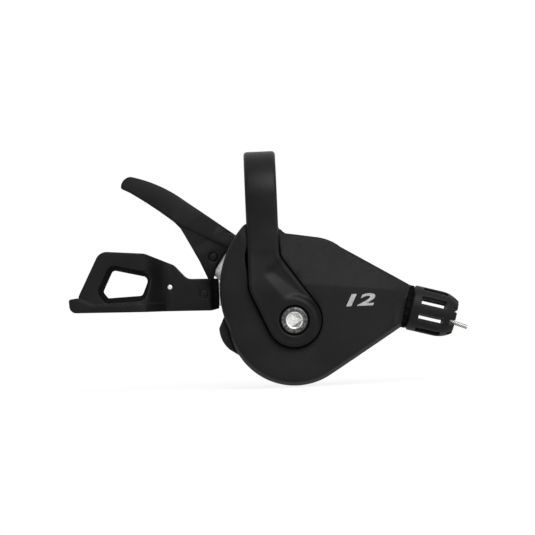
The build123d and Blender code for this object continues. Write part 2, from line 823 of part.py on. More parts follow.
with BuildPart() as release_lever_paddle:
    extrude(stepped_strip(frame_step, frame_back_step, release_front_y), amount=30)
    with BuildSketch(axle_plane(40)):
        with BuildLine():
            FilletPolyline(
                (-21.2, 4.0),
                (-23.4, 3.5),
                (-61.4, 4.45),
                (-61.4, 9.2),
                (-54.8, 21.7),
                (-42.0, 20.6),
                (-33.6, 16.9),
                (-30.0, 12.8),
                (-21.0, 12.6),
                radius=(0.4, 0.8, 0.6, 1.0, 3.4, 4.0, 2.6, 3.0, 0.6),
                close=True,
            )
        make_face()
    extrude(amount=80, mode=Mode.INTERSECT)
    add(release_lever_pad.part)
    extrude(window_sketch(release_front_y + 1), amount=frame_back_step + 1, mode=Mode.SUBTRACT)
    extrude(
        window_sketch(release_front_y - frame_back_step),
        amount=frame_step + 2 + paddle_skin - frame_back_step,
        taper=-window_draft,
        mode=Mode.SUBTRACT,
    )
    with BuildSketch(axle_plane(release_front_y)):
        with Locations(release_rivet):
            Circle(rivet_radius)
        with Locations(release_pin):
            Circle(release_pin_radius)
    extrude(amount=paddle_skin + 1, mode=Mode.SUBTRACT)
release_lever_paddle.part.label = "release_lever_paddle"
export_step(release_lever_paddle.part, "parts/release_lever_paddle.step")

with BuildPart() as release_lever_rivet:
    with BuildSketch(axle_plane(release_back_y + rivet_proud)):
        with Locations(release_rivet):
            Circle(rivet_radius)
    extrude(amount=plate_thick + paddle_skin + 2 * rivet_proud)
release_lever_rivet.part.label = "release_lever_rivet"
export_step(release_lever_rivet.part, "parts/release_lever_rivet.step")

with BuildPart() as release_lever_pin:
    with BuildSketch(axle_plane(release_back_y)):
        with Locations(release_pin):
            Circle(release_pin_radius)
    extrude(amount=plate_thick + paddle_skin)
release_lever_pin.part.label = "release_lever_pin"
export_step(release_lever_pin.part, "parts/release_lever_pin.step")


def crown_y(along):
    """Depth of the front cover's crowned face at a distance from the axle along the bar."""
    return cover_front_y + cover_crown_radius - sqrt(cover_crown_radius**2 - along**2)


def ring_sketch(margin):
    """Disc round the bar, wider than it by a margin, on a plane across the bar."""
    with BuildSketch(Plane.YZ.offset(-60)) as disc:
        Circle(bar_radius + margin)
    return disc.sketch


def strip_room(margin):
    """Room round the band's two strips where they run from the ring down to the tabs."""
    strip_root = polar(bar_radius + 2.4, 243)
    with BuildPart() as room:
        extrude(arm_sketch(depth_plane(0), margin), amount=40)
        with BuildSketch(Plane.YZ.offset(-60)):
            Polygon(
                (strip_root[0] + margin, 3 - bar_radius),
                (strip_root[0] + margin, strip_root[1]),
                (rear_tab_back_y + margin, arm_knee_z + 0.8),
                (arm_front_y - 10, arm_knee_z + 0.8),
                (arm_front_y - 10, 3 - bar_radius),
                align=None,
            )
        extrude(amount=120, mode=Mode.INTERSECT)
    return room.part


boss_ring_radius = (drum_flange_radius + housing_radius + 0.9) / 2
screw_places = ((22.6, 9.6), (21.4, -4.6), polar(boss_ring_radius, foot_screw_angle))

# Room inside the front cover: everything within its walls, the bar's saddle, the band and the nose block
with BuildPart() as front_room:
    extrude(housing_sketch(parting_y, housing_wall), amount=parting_y - floor_y)
    extrude(ring_sketch(saddle_gap + housing_wall), amount=120, mode=Mode.SUBTRACT)
    channel_half = band_width / 2 + channel_gap
    with BuildSketch(Plane.YZ.offset(-channel_half - housing_wall)):
        Circle(bar_radius + band_wall + channel_gap + housing_wall)
    extrude(amount=2 * (channel_half + housing_wall), mode=Mode.SUBTRACT)
    add(strip_room(channel_gap + housing_wall), mode=Mode.SUBTRACT)
    with BuildSketch(cable_plane(nose_block_reach)):
        Rectangle(80, 80)
    extrude(amount=30, mode=Mode.SUBTRACT)
    with BuildSketch(axle_plane(parting_y)):
        Circle(drum_flange_radius + 0.6)
    extrude(amount=parting_y - floor_y)

# Front cover: the crowned shell, with a channel for the clamp arm and a saddle for the bar
crease_from = Vector(axle_x + crease_start[0], crown_y(crease_start[0]), axle_z + crease_start[1])
crease_to = Vector(axle_x + crease_end[0], crown_y(crease_end[0]), axle_z + crease_end[1])
crease_line = crease_to - crease_from
crease_side = Vector(-crease_line.Z, 0, crease_line.X).normalized()
facet_line = crease_side * facet_span + Vector(0, facet_fall, 0)
facet_plane = Plane(origin=crease_from, x_dir=crease_line, z_dir=crease_line.cross(facet_line))
screw_seat_y = parting_y + 2.0
with BuildPart() as front_cover:
    extrude(housing_sketch(parting_y), amount=parting_y - cover_front_y + 1)
    with BuildSketch(Plane.XY.offset(axle_z - 40)):
        with Locations((axle_x, cover_front_y + cover_crown_radius)):
            Circle(cover_crown_radius)
    extrude(amount=90, mode=Mode.INTERSECT)
    fillet(front_cover.faces().sort_by(Axis.Y)[0].edges(), cover_edge_radius)
    with BuildSketch(axle_plane(cover_front_y + 8)):
        with BuildLine():
            flare_foot = (channel_half - axle_x, crown_right[1] - 0.5)
            flare_top = (flare_foot[0], crown_right[1] + flare_height)
            flare_end = (flare_foot[0] + flare_length, flare_foot[1])
            flare_middle = (flare_foot[0] + 0.35 * flare_length, flare_foot[1] + 0.45 * flare_height)
            Line(flare_end, flare_foot)
            Line(flare_foot, flare_top)
            ThreePointArc(flare_top, flare_middle, flare_end)
        make_face()
    extrude(amount=5)
    with BuildSketch(facet_plane):
        Rectangle(200, 200)
    extrude(amount=40, mode=Mode.SUBTRACT)
    extrude(ring_sketch(saddle_gap), amount=120, mode=Mode.SUBTRACT)
    with BuildSketch(Plane.YZ.offset(-channel_half)):
        Circle(bar_radius + band_wall + channel_gap)
    extrude(amount=2 * channel_half, mode=Mode.SUBTRACT)
    extrude(arm_sketch(depth_plane(floor_front_y), channel_gap), amount=20, mode=Mode.SUBTRACT)
    add(strip_room(channel_gap), mode=Mode.SUBTRACT)
    add(front_room.part, mode=Mode.SUBTRACT)
    with BuildSketch(axle_plane(parting_y)):
        with Locations(*screw_places):
            Circle(boss_radius)
    extrude(amount=parting_y - floor_y)
    with BuildSketch(axle_plane(parting_y)):
        with Locations(*screw_places):
            Circle(screw_radius)
    extrude(amount=screw_length - 1.5, mode=Mode.SUBTRACT)
    with BuildSketch(axle_plane(floor_y)):
        Circle(axle_front_radius + seat_gap)
    extrude(amount=floor_thick, mode=Mode.SUBTRACT)
    with BuildSketch(cable_plane(nose_block_reach - 1)):
        Circle(barrel_radius + run_gap)
    extrude(amount=nose_reach - nose_block_reach + 2, mode=Mode.SUBTRACT)
front_cover.part.label = "front_cover"
export_step(front_cover.part, "parts/front_cover.step")


def rear_block(inset, edge=0.0):
    """Solid of the rear cover's outside, or of the room inside it when inset by the wall."""
    back_y = rear_y - inset
    with BuildPart() as block:
        extrude(housing_sketch(back_y, inset), amount=back_y - parting_y)
        if edge:
            fillet(block.faces().sort_by(Axis.Y)[-1].edges(), edge)
        with BuildSketch(profile_plane):
            slope_reach = 30
            slope_y = back_y - slope_reach * tan(radians(rear_slope))
            Polygon(
                (rear_slope_x, back_y),
                (rear_slope_x + slope_reach, slope_y),
                (rear_slope_x + slope_reach, rear_y + 1),
                (rear_slope_x, rear_y + 1),
                align=None,
            )
        extrude(amount=40, both=True, mode=Mode.SUBTRACT)
        with BuildSketch(Plane.XY.offset(rear_top_z - inset)):
            Rectangle(160, 160)
        extrude(amount=40, mode=Mode.SUBTRACT)
    return block.part


# Rear cover: a flatter shell that slopes away to the nose, open on the levers' side
with BuildPart() as rear_cover:
    add(rear_block(0, rear_edge_radius))
    extrude(ring_sketch(band_wall + channel_gap), amount=120, mode=Mode.SUBTRACT)
    add(rear_block(housing_wall), mode=Mode.SUBTRACT)
    with BuildSketch(axle_plane(thumb_back_y + 0.6)):
        Polygon((0, 0), polar(40, 116), polar(40, 160), polar(40, 204), align=None)
    extrude(amount=thumb_back_y + 0.6 - parting_y, mode=Mode.SUBTRACT)
    with BuildSketch(axle_plane(rear_y)):
        with Locations(*screw_places):
            Circle(boss_radius)
    extrude(amount=rear_y - parting_y)
    add(rear_block(0, rear_edge_radius), mode=Mode.INTERSECT)
    with BuildSketch(axle_plane(rear_y)):
        with Locations(*screw_places):
            Circle(screw_head_radius + 0.2)
    extrude(amount=rear_y - screw_seat_y, mode=Mode.SUBTRACT)
    with BuildSketch(axle_plane(rear_y)):
        with Locations(*screw_places):
            Circle(screw_radius + 0.1)
        Circle(nut_flats / sqrt(3) + 0.4)
    extrude(amount=rear_y - parting_y, mode=Mode.SUBTRACT)
rear_cover.part.label = "rear_cover"
export_step(rear_cover.part, "parts/rear_cover.step")

# Three equal screws, from the rear cover into the front cover's bosses
with BuildPart() as cover_screws:
    with BuildSketch(axle_plane(screw_seat_y + screw_head_thick)):
        with Locations(*screw_places):
            Circle(screw_head_radius)
    extrude(amount=screw_head_thick)
    with BuildSketch(axle_plane(screw_seat_y)):
        with Locations(*screw_places):
            Circle(screw_radius)
    extrude(amount=screw_length)
    with BuildSketch(axle_plane(screw_seat_y + screw_head_thick)):
        with Locations(*screw_places):
            RegularPolygon(0.75, 6)
    extrude(amount=0.8, mode=Mode.SUBTRACT)
cover_screws.part.label = "cover_screws"
export_step(cover_screws.part, "parts/cover_screws.step")

# Cap of the cable port, against the wall below the levers
with BuildPart() as cable_port_cap:
    cap_back_y = parting_y - 0.5
    with BuildSketch(axle_plane(cap_back_y)):
        with BuildLine():
            cap_top = polar(housing_radius + 2.85, 184)
            cap_foot = polar(housing_radius + 1.55, 202.6)
            Polyline(
                cap_top,
                polar(housing_radius + 2.4, 181.6),
                polar(housing_radius + 1.2, 173.6),
                polar(housing_radius - 4.3, 171.0),
                polar(housing_radius - 5.1, 206.6),
                polar(housing_radius - 0.36, 213.1),
                cap_foot,
            )
            ThreePointArc(cap_foot, polar(housing_radius + 2.67, 193.4), cap_top)
        make_face()
    extrude(amount=cap_back_y + 9.0)
    extrude(housing_sketch(cap_back_y), amount=cap_back_y + 9.0, mode=Mode.SUBTRACT)
cable_port_cap.part.label = "cable_port_cap"
export_step(cable_port_cap.part, "parts/cable_port_cap.step")

# Washer and nut that close the stack on the axle's threaded end
with BuildPart() as axle_washer:
    with BuildSketch(axle_plane(nut_front_y)):
        Circle(axle_thread_radius + 3.4)
        Circle(axle_thread_radius + run_gap, mode=Mode.SUBTRACT)
    extrude(amount=washer_thick)
axle_washer.part.label = "axle_washer"
export_step(axle_washer.part, "parts/axle_washer.step")

with BuildPart() as axle_nut:
    with BuildSketch(axle_plane(rear_y)):
        RegularPolygon(nut_flats / 2, 6, major_radius=False)
        Circle(axle_thread_radius, mode=Mode.SUBTRACT)
    extrude(amount=nut_thick)
axle_nut.part.label = "axle_nut"
export_step(axle_nut.part, "parts/axle_nut.step")

# Barrel of the adjuster: a tube in the nose that the outer casing pushes against
knob_start = nose_reach + collar_length + seat_gap
with BuildPart() as adjuster_barrel:
    with BuildSketch(cable_plane(barrel_back_reach)):
        Circle(barrel_radius)
        Circle(wire_bore_radius, mode=Mode.SUBTRACT)
    extrude(amount=knob_start + knob_rim - barrel_back_reach)
adjuster_barrel.part.label = "adjuster_barrel"
export_step(adjuster_barrel.part, "parts/adjuster_barrel.step")

# Collar between the nose and the knob, with ridges that click under the knob's rim
with BuildPart() as adjuster_collar:
    with BuildSketch(cable_plane(nose_reach)):
        Circle(collar_radius)
        with PolarLocations(collar_radius, 2 * knob_slot_count):
            Circle(0.45)
        Circle(barrel_radius + run_gap, mode=Mode.SUBTRACT)
    extrude(amount=collar_length)
adjuster_collar.part.label = "adjuster_collar"
export_step(adjuster_collar.part, "parts/adjuster_collar.step")

# Knob of the adjuster: slotted all round, tapered to a notched end
with BuildPart() as adjuster_knob:
    with BuildSketch(cable_section(knob_start)):
        with BuildLine():
            taper = TangentArc(
                (knob_taper_start, knob_radius), (knob_length, knob_end_radius), tangent=(1, 0)
            )
            Polyline(
                taper @ 1,
                (knob_length, knob_mouth_radius),
                (knob_slot_end, knob_mouth_radius),
                (knob_slot_end, knob_bore_radius),
                (knob_rim, knob_bore_radius),
                (knob_rim, barrel_radius),
                (0, barrel_radius),
                (0, knob_radius - 0.5),
                (0.5, knob_radius),
                taper @ 0,
            )
        make_face()
    revolve(axis=cable_axis)
    first_slot = 180 / knob_slot_count - knob_turn
    with BuildSketch(cable_plane(knob_start + knob_rim + 0.3)):
        with PolarLocations(knob_radius, knob_slot_count, start_angle=first_slot):
            Rectangle(6, knob_slot_width)
    extrude(amount=knob_slot_end - knob_rim - 0.3, mode=Mode.SUBTRACT)
    with BuildSketch(cable_plane(knob_start + knob_length - notch_depth)):
        with PolarLocations(knob_end_radius, knob_slot_count, start_angle=first_slot):
            Rectangle(5, 1.5)
    extrude(amount=notch_depth + 1, mode=Mode.SUBTRACT)
adjuster_knob.part.label = "adjuster_knob"
export_step(adjuster_knob.part, "parts/adjuster_knob.step")

# Inner wire: round the drum's groove from the nipple, straight through the adjuster, then a drooping stub
with BuildPart() as inner_cable:
    with BuildLine(axle_plane(cable_y)) as run:
        off_drum = 90 - cable_slope
        CenterArc((0, 0), drum_pitch_radius, off_drum, nipple_angle + 0.5 - off_drum)
        Line(from_cable(0, 0), from_cable(wire_bend_start, 0))
        TangentArc(
            from_cable(wire_bend_start, 0),
            from_cable(wire_end, -wire_droop),
            tangent=Vector(*from_cable(1, 0)) - Vector(*from_cable(0, 0)),
        )
    stub_end = run.wires()[0]
    with BuildSketch(Plane(origin=stub_end @ 1, z_dir=stub_end % 1)):
        Circle(wire_radius)
    sweep(path=stub_end)
inner_cable.part.label = "inner_cable"
export_step(inner_cable.part, "parts/inner_cable.step")
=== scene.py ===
from math import cos, hypot, radians, sin, sqrt, tan

import bmesh
import bpy
from mathutils import Matrix, Vector
from mathutils.kdtree import KDTree


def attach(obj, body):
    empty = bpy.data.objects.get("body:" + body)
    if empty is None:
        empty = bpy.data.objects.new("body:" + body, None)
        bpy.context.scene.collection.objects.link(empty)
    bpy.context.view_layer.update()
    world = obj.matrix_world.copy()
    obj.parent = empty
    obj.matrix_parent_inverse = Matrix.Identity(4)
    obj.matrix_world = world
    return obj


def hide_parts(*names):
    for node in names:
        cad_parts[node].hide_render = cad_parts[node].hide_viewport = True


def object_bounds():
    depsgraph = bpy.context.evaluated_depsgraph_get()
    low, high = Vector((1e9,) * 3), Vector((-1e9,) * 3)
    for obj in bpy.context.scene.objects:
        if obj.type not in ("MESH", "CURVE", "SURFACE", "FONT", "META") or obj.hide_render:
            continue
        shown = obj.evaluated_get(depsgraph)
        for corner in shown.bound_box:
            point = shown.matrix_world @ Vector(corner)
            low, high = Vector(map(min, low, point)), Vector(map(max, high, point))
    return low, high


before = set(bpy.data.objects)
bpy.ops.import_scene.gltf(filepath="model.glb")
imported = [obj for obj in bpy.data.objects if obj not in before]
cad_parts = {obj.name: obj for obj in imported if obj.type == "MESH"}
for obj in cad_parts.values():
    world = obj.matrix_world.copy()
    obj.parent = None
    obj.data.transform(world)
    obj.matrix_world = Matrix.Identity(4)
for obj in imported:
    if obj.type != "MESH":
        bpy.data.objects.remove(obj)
solid_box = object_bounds()

# The clamp band: a strip of aluminium bent round the bar, with an arm and a rear tab below it.
# It is bead blasted, then anodised black, and a narrow rim is left standing along its edges.


def linear(hex_colour):
    """Linear colour of an sRGB hex value."""
    shares = [int(hex_colour[i : i + 2], 16) / 255 for i in (1, 3, 5)]
    return [s / 12.92 if s <= 0.04045 else ((s + 0.055) / 1.055) ** 2.4 for s in shares] + [1.0]


def add_node(tree, kind, links=(), ramp=(), **settings):
    """Adds a node, sets its properties, sockets and ramp, and links its inputs from other nodes."""
    node = tree.nodes.new(kind)
    for name, value in settings.items():
        if hasattr(node, name):
            setattr(node, name, value)
        else:
            node.inputs[name.replace("_", " ")].default_value = value
    for k, (position, hex_colour) in enumerate(ramp):
        stop = node.color_ramp.elements[k] if k < 2 else node.color_ramp.elements.new(position)
        stop.position, stop.color = position, linear(hex_colour)
    for socket, source, output in links:
        tree.links.new(source.outputs[output], node.inputs[socket])
    return node


def new_finish(name, colour, roughness, metallic=0.0, specular=0.5):
    """A new material with its shader, and the Object coordinates that its patterns are laid on."""
    material = bpy.data.materials.new(name)
    material.use_nodes = True
    tree = material.node_tree
    shader = tree.nodes["Principled BSDF"]
    shader.inputs["Base Color"].default_value = linear(colour)
    shader.inputs["Roughness"].default_value = roughness
    shader.inputs["Metallic"].default_value = metallic
    shader.inputs["Specular IOR Level"].default_value = specular
    return material, tree, shader, add_node(tree, "ShaderNodeTexCoord")


def dress(tree, shader, **patterns):
    """Links patterns, each a node and its output, to the shader's sockets."""
    for socket, (node, output) in patterns.items():
        tree.links.new(node.outputs[output], shader.inputs[socket.replace("_", " ")])


def wear_and_sheen_edges(tree, place, radius, patch_scale):
    """A mask that is 1 on rounded edges and corners, broken up in patches, and the softened normal.
    A scale of 700 gives patches of about 1.4 mm, one of 450 patches of about 2.2 mm."""
    soft = add_node(tree, "ShaderNodeBevel", samples=6, Radius=radius)
    plain = add_node(tree, "ShaderNodeNewGeometry")
    turn = add_node(
        tree, "ShaderNodeVectorMath", [(0, soft, "Normal"), (1, plain, "Normal")], operation="DOT_PRODUCT"
    )
    edge = add_node(tree, "ShaderNodeMapRange", [("Value", turn, "Value")], From_Min=0.99, From_Max=0.86)
    patch = add_node(
        tree, "ShaderNodeTexNoise", [("Vector", place, "Object")], Scale=patch_scale, Detail=4.0
    )
    # The mask lightens rounded edges partly as wear and partly as a painted highlight on the edge.
    mask = add_node(tree, "ShaderNodeMath", [(0, edge, "Result"), (1, patch, "Fac")], operation="MULTIPLY")
    return mask, soft


merge_distance, shortest_edge, cut_distance = 2e-6, 3e-5, 1e-7
flat_angle, corner_angle, crease_angle = radians(0.5), radians(26), radians(34)


def piece_from(node, name, body, material, rounds, clamp=True):
    """A piece with a solid's own shape, merged, in its place. Each round is a width in mm, a number of
    segments and a test that picks sharp edges by their middle."""
    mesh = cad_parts[node].data.copy()
    mesh.name = name
    shape = bmesh.new()
    shape.from_mesh(mesh)
    bmesh.ops.remove_doubles(shape, verts=shape.verts, dist=merge_distance)
    bmesh.ops.dissolve_degenerate(shape, dist=shortest_edge, edges=shape.edges)
    bmesh.ops.dissolve_limit(shape, angle_limit=flat_angle, verts=shape.verts, edges=shape.edges)
    for width, segments, picks in rounds:
        corners = [
            e for e in shape.edges
            if e.is_manifold and e.calc_face_angle() > corner_angle
            and picks((e.verts[0].co + e.verts[1].co) / 2)
        ]
        bmesh.ops.bevel(
            shape, geom=corners, offset=width / 1000, offset_type="OFFSET", affect="EDGES",
            segments=segments, profile=0.5, material=-1, clamp_overlap=clamp,
        )
    bmesh.ops.triangulate(shape, faces=[f for f in shape.faces if len(f.verts) > 4])
    for face in shape.faces:
        face.smooth = True
    shape.to_mesh(mesh)
    shape.free()
    mesh.set_sharp_from_angle(angle=crease_angle)
    piece = bpy.data.objects.new(name, mesh)
    bpy.context.scene.collection.objects.link(piece)
    mesh.materials.clear()
    mesh.materials.append(material)
    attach(piece, body)
    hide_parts(node)
    return piece


def anywhere(point):
    """Picks every sharp edge."""
    return True


def cut(shape, faces, spot, direction, clear_outer=False):
    """Cuts some faces of a shape along a plane, and can take away what lies beyond it."""
    edges = dict.fromkeys(e for f in faces for e in f.edges)
    verts = dict.fromkeys(v for f in faces for v in f.verts)
    bmesh.ops.bisect_plane(
        shape, geom=[*verts, *edges, *faces], dist=cut_distance, plane_co=spot, plane_no=direction,
        clear_outer=clear_outer,
    )


def ease(value, low, high):
    """0 below one value, 1 above another, and smooth between them."""
    share = min(1.0, max(0.0, (value - low) / (high - low)))
    return share * share * (3 - 2 * share)


# Black anodised aluminium: a satin skin, blasted with about 0.25 mm beads, drawn at 0.45 mm to show here.
# Its tone clouds over about 6 mm. The edges are painted a lighter grey, partly as rubbing where a hand or a
# tool brushes past and partly as a painted highlight on the rounded edge.
black_anodise, tree, shader, place = new_finish("black_anodised_aluminium", "#0b0b0c", 0.42, 0.0, 0.13)
beads = add_node(tree, "ShaderNodeTexNoise", [("Vector", place, "Object")], Scale=2200, Detail=2.0)
cloud = add_node(tree, "ShaderNodeTexNoise", [("Vector", place, "Object")], Scale=160, Detail=4.0)
skin = add_node(
    tree, "ShaderNodeValToRGB", [("Fac", cloud, "Fac")], ramp=((0.35, "#080809"), (0.65, "#0e0e0f"))
)
rub_and_sheen, soft = wear_and_sheen_edges(tree, place, 0.0008, 700)
colour = add_node(
    tree, "ShaderNodeMixRGB", [("Fac", rub_and_sheen, "Value"), ("Color1", skin, "Color")], Color2=linear("#2c2c2d")
)
gloss = add_node(tree, "ShaderNodeMapRange", [("Value", beads, "Fac")], To_Min=0.36, To_Max=0.5)
relief = add_node(
    tree, "ShaderNodeBump", [("Height", beads, "Fac"), ("Normal", soft, "Normal")],
    Strength=1.0, Distance=0.000007,
)
dress(tree, shader, Base_Color=(colour, "Color"), Roughness=(gloss, "Result"), Normal=(relief, "Normal"))

axle_x, axle_z, bore_radius, ring_radius = 0.0079, -0.0346, 0.00435, 0.0137
arm_face, root_foot, arm_head, arm_foot = -0.0162, -0.0123, -0.0125, -0.043


def from_axle(point):
    """How far a point lies from the axle's line."""
    return hypot(point.x - axle_x, point.z - axle_z)


def solid_front(z):
    """Where the solid band's front lies at a height: its ring, the straight root, the slope and the arm."""
    root_y, root_z, root_lean, slope_y, slope_lean = -0.01156, -0.0042, 0.0395, -0.01188, 0.3273
    if z > root_foot:
        return min(-sqrt(ring_radius**2 - z * z), root_y + (z - root_z) * root_lean)
    return max(arm_face, slope_y + (z - root_foot) * slope_lean)


def drawn_front(z):
    """Where it is drawn: straight down from the ring, then a little outwards to the arm's face."""
    limb_lean, slope_y, slope_lean = 0.04, -0.01419, 0.152
    if z > root_foot:
        return -ring_radius + z * limb_lean
    return max(arm_face, slope_y + (z - root_foot) * slope_lean)


def front_limb(y, z):
    """True in front of the slit that parts the arm from the rear tab."""
    slit_head, slit_foot, slit_front, slit_end = -0.0089, -0.0119, -0.009, -0.0125
    slope_y, slope_lean = -0.00895, 0.335
    if z > slit_head:
        return y < z
    return y < (slit_front if z > slit_foot else max(slit_end, slope_y + (z - slit_foot) * slope_lean))


def bore_mouth(point):
    """Picks the edge of the counterbore."""
    bore_margin = 0.0003
    return from_axle(point) < bore_radius + bore_margin


def outer_corner(point):
    """Picks the band's outer edges, but none in the slit, on the tab or in the hollow under the ring."""
    edge_radius, boss_margin, front_margin = 0.0133, 0.0015, 0.0006
    hollow_foot, hollow_half = -0.0135, 0.002
    in_front = front_limb(point.y, point.z)
    outside = hypot(point.y, point.z) > edge_radius and from_axle(point) > bore_radius + boss_margin
    on_front = point.z > 0 or not in_front or point.y < solid_front(point.z) + front_margin
    off_tab = point.z > hollow_foot or in_front
    off_hollow = abs(point.x) > hollow_half or point.z > 0 or point.z < hollow_foot
    return outside and on_front and off_tab and off_hollow


clamp_band = piece_from(
    "clamp_band", "clamp_band_strip", "housing", black_anodise,
    [(0.2, 2, bore_mouth), (1.0, 4, outer_corner)], clamp=False,
)
# The arm's front is cut into a fine grid. Its face is then sunk a little inside a rim along the outline,
# and planed off in one slanting facet that runs down from the strip to the boss. A face looks ahead where
# its normal's y is below a set value.
strip = bmesh.new()
strip.from_mesh(clamp_band.data)
strip.normal_update()
grid_left, grid_top, grid_step, ahead = -0.0044, -0.0144, 0.0005, -0.5
grid_lines = [((grid_left + k * grid_step, 0, 0), (1, 0, 0)) for k in range(41)]
grid_lines += [((0, 0, grid_top - k * grid_step), (0, 0, 1)) for k in range(56)]
for spot, direction in grid_lines:
    front = [f for f in strip.faces if f.normal.y < ahead and f.calc_center_median().z < arm_head]
    cut(strip, front, spot, direction)
strip.normal_update()
front = {f for f in strip.faces if f.normal.y < ahead and f.calc_center_median().z < arm_head}
bore_rim, head_margin = bore_radius + 0.001, 0.0001
outline = [
    v.co.copy() for f in front for e in f.edges if any(g not in front for g in e.link_faces) for v in e.verts
    if from_axle(v.co) > bore_rim and v.co.z < arm_head - head_margin
]
near = KDTree(len(outline))
for k, spot in enumerate(outline):
    near.insert((spot.x, 0, spot.z), k)
near.balance()
inside = {v for f in front for v in f.verts}
facet_start, facet_along = Vector((0.00098, -0.0228)), Vector((0.595, -0.804))
facet_out, facet_tilt, facet_depth = Vector((0.804, 0.595)), tan(radians(18)), 0.0033
valley_start, valley_out = Vector((0.00166, -0.0203)), Vector((0.627, 0.779))
facet_fade, boss_fade = (-0.003, -0.0006), (0.0058, 0.0074)
rim_height, rim_edge, rim_head = 0.00012, (0.0008, 0.0013), (0.0135, 0.0165)
band_wall, band_inside, band_crease = 0.0024, 0.0112, radians(38)
# Below its top 3 mm the drawn front is a mean over 4.8 mm, which rounds its corners.
mean_head, mean_step, mean_half = -0.003, 0.0008, 3
for vert in strip.verts:
    x, y, z = vert.co
    if not arm_foot < z < 0 or not front_limb(y, z):
        continue
    sink = 0.0
    if z < arm_head:
        across = Vector((x, z))
        out = max(0.0, (across - facet_start).dot(facet_out))
        past = max(0.0, (across - valley_start).dot(valley_out))
        run = (across - facet_start).dot(facet_along)
        fade = ease(run, *facet_fade) * ease(from_axle(vert.co), *boss_fade)
        depth_share = ease(solid_front(z) + facet_depth - y, 0.0, facet_depth)
        sink = max(0.0, out - past) * facet_tilt * fade * depth_share
    if vert in inside:
        from_outline = near.find((x, 0, z))[2]
        sink += rim_height * ease(from_outline, *rim_edge) * ease(-z, *rim_head)
    drawn = drawn_front(z)
    if z < mean_head:
        spots = [min(0.0, z + k * mean_step) for k in range(-mean_half, mean_half + 1)]
        drawn = sum(drawn_front(spot) for spot in spots) / len(spots)
    lean = min(1.0, max(0.0, (hypot(y, z) - band_inside) / band_wall))
    vert.co.y = max(arm_face, y + sink + (drawn - solid_front(z)) * lean)
strip.to_mesh(clamp_band.data)
strip.free()
clamp_band.data.set_sharp_from_angle(angle=band_crease)

# The clamp bolt: an M5 steel bolt with a low turned head, blackened, and a broached hexagon socket.
# The tool has worn the socket bright, and a ring round it out to about 2.3 mm. The head sits in the
# counterbore, the shank in the hollow axle. The lathe left rings 0.35 mm apart, the blacking 0.7 mm specks.
dark_steel, tree, shader, place = new_finish("blackened_turned_steel", "#454547", 0.4, 1.0)
to_axle = (-axle_x, 0, -axle_z)
centred = add_node(tree, "ShaderNodeMapping", [("Vector", place, "Object")], Location=to_axle)
rings = add_node(
    tree, "ShaderNodeTexWave", [("Vector", centred, "Vector")], wave_type="RINGS", rings_direction="Y",
    Scale=900.0, Distortion=1.5, Detail=2.0,
)
speck = add_node(tree, "ShaderNodeTexNoise", [("Vector", place, "Object")], Scale=1500, Detail=4.0)
skin = add_node(
    tree, "ShaderNodeValToRGB", [("Fac", speck, "Fac")], ramp=((0.36, "#323233"), (0.68, "#747473"))
)
flat_place = add_node(tree, "ShaderNodeVectorMath", [(0, centred, "Vector")], operation="MULTIPLY")
flat_place.inputs[1].default_value = (1, 0, 1)
reach = add_node(tree, "ShaderNodeVectorMath", [(0, flat_place, "Vector")], operation="LENGTH")
polished = add_node(
    tree, "ShaderNodeMapRange", [("Value", reach, "Value")], From_Min=0.00245, From_Max=0.00225
)
colour = add_node(
    tree, "ShaderNodeMixRGB", [("Fac", polished, "Result"), ("Color1", skin, "Color")],
    Color2=linear("#dededc"),
)
gloss = add_node(tree, "ShaderNodeMapRange", [("Value", speck, "Fac")], To_Min=0.34, To_Max=0.55)
relief = add_node(tree, "ShaderNodeBump", [("Height", rings, "Fac")], Strength=1.0, Distance=0.000006)
dress(tree, shader, Base_Color=(colour, "Color"), Roughness=(gloss, "Result"), Normal=(relief, "Normal"))
# The broach and the tool leave scratches, drawn about 0.8 mm long.
bright_steel, tree, shader, place = new_finish("bright_broached_steel", "#dcdcda", 0.3, 1.0)
scratch = add_node(tree, "ShaderNodeTexNoise", [("Vector", place, "Object")], Scale=1200, Detail=5.0)
skin = add_node(
    tree, "ShaderNodeValToRGB", [("Fac", scratch, "Fac")], ramp=((0.35, "#c2c2c0"), (0.65, "#eeeeec"))
)
gloss = add_node(tree, "ShaderNodeMapRange", [("Value", scratch, "Fac")], To_Min=0.22, To_Max=0.42)
dress(tree, shader, Base_Color=(skin, "Color"), Roughness=(gloss, "Result"))

socket_mouth, socket_floor, head_front = 0.0025, -0.0143, -0.0158
clamp_bolt = piece_from(
    "clamp_bolt", "clamp_bolt_turned", "housing", dark_steel,
    [
        (0.28, 1, lambda p: from_axle(p) < socket_mouth and p.y < head_front),
        (0.1, 2, lambda p: from_axle(p) > socket_mouth),
    ],
)
clamp_bolt.data.materials.append(bright_steel)
for face in clamp_bolt.data.polygons:
    if from_axle(face.center) < socket_mouth and face.center.y < socket_floor:
        face.material_index = 1

# The main axle, base plate and washer: zinc-plated steel that carries everything inside; the nut is blackened
# steel.
# The plate lies on the front cover's floor and the nut closes the stack at the back.
# Bright zinc has a soft spangle of about 2 mm and fine scratches of about 0.4 mm from the tumbling drum.
zinc_plate, tree, shader, place = new_finish("zinc_plated_steel", "#b4b4b2", 0.3, 1.0)
spangle = add_node(tree, "ShaderNodeTexVoronoi", [("Vector", place, "Object")], Scale=480)
tumble = add_node(tree, "ShaderNodeTexNoise", [("Vector", place, "Object")], Scale=2400, Detail=5.0)
skin = add_node(
    tree, "ShaderNodeValToRGB", [("Fac", spangle, "Distance")], ramp=((0.1, "#a6a6a5"), (0.8, "#c4c4c2"))
)
gloss = add_node(tree, "ShaderNodeMapRange", [("Value", tumble, "Fac")], To_Min=0.24, To_Max=0.44)
relief = add_node(tree, "ShaderNodeBump", [("Height", tumble, "Fac")], Strength=1.0, Distance=0.000003)
dress(tree, shader, Base_Color=(skin, "Color"), Roughness=(gloss, "Result"), Normal=(relief, "Normal"))
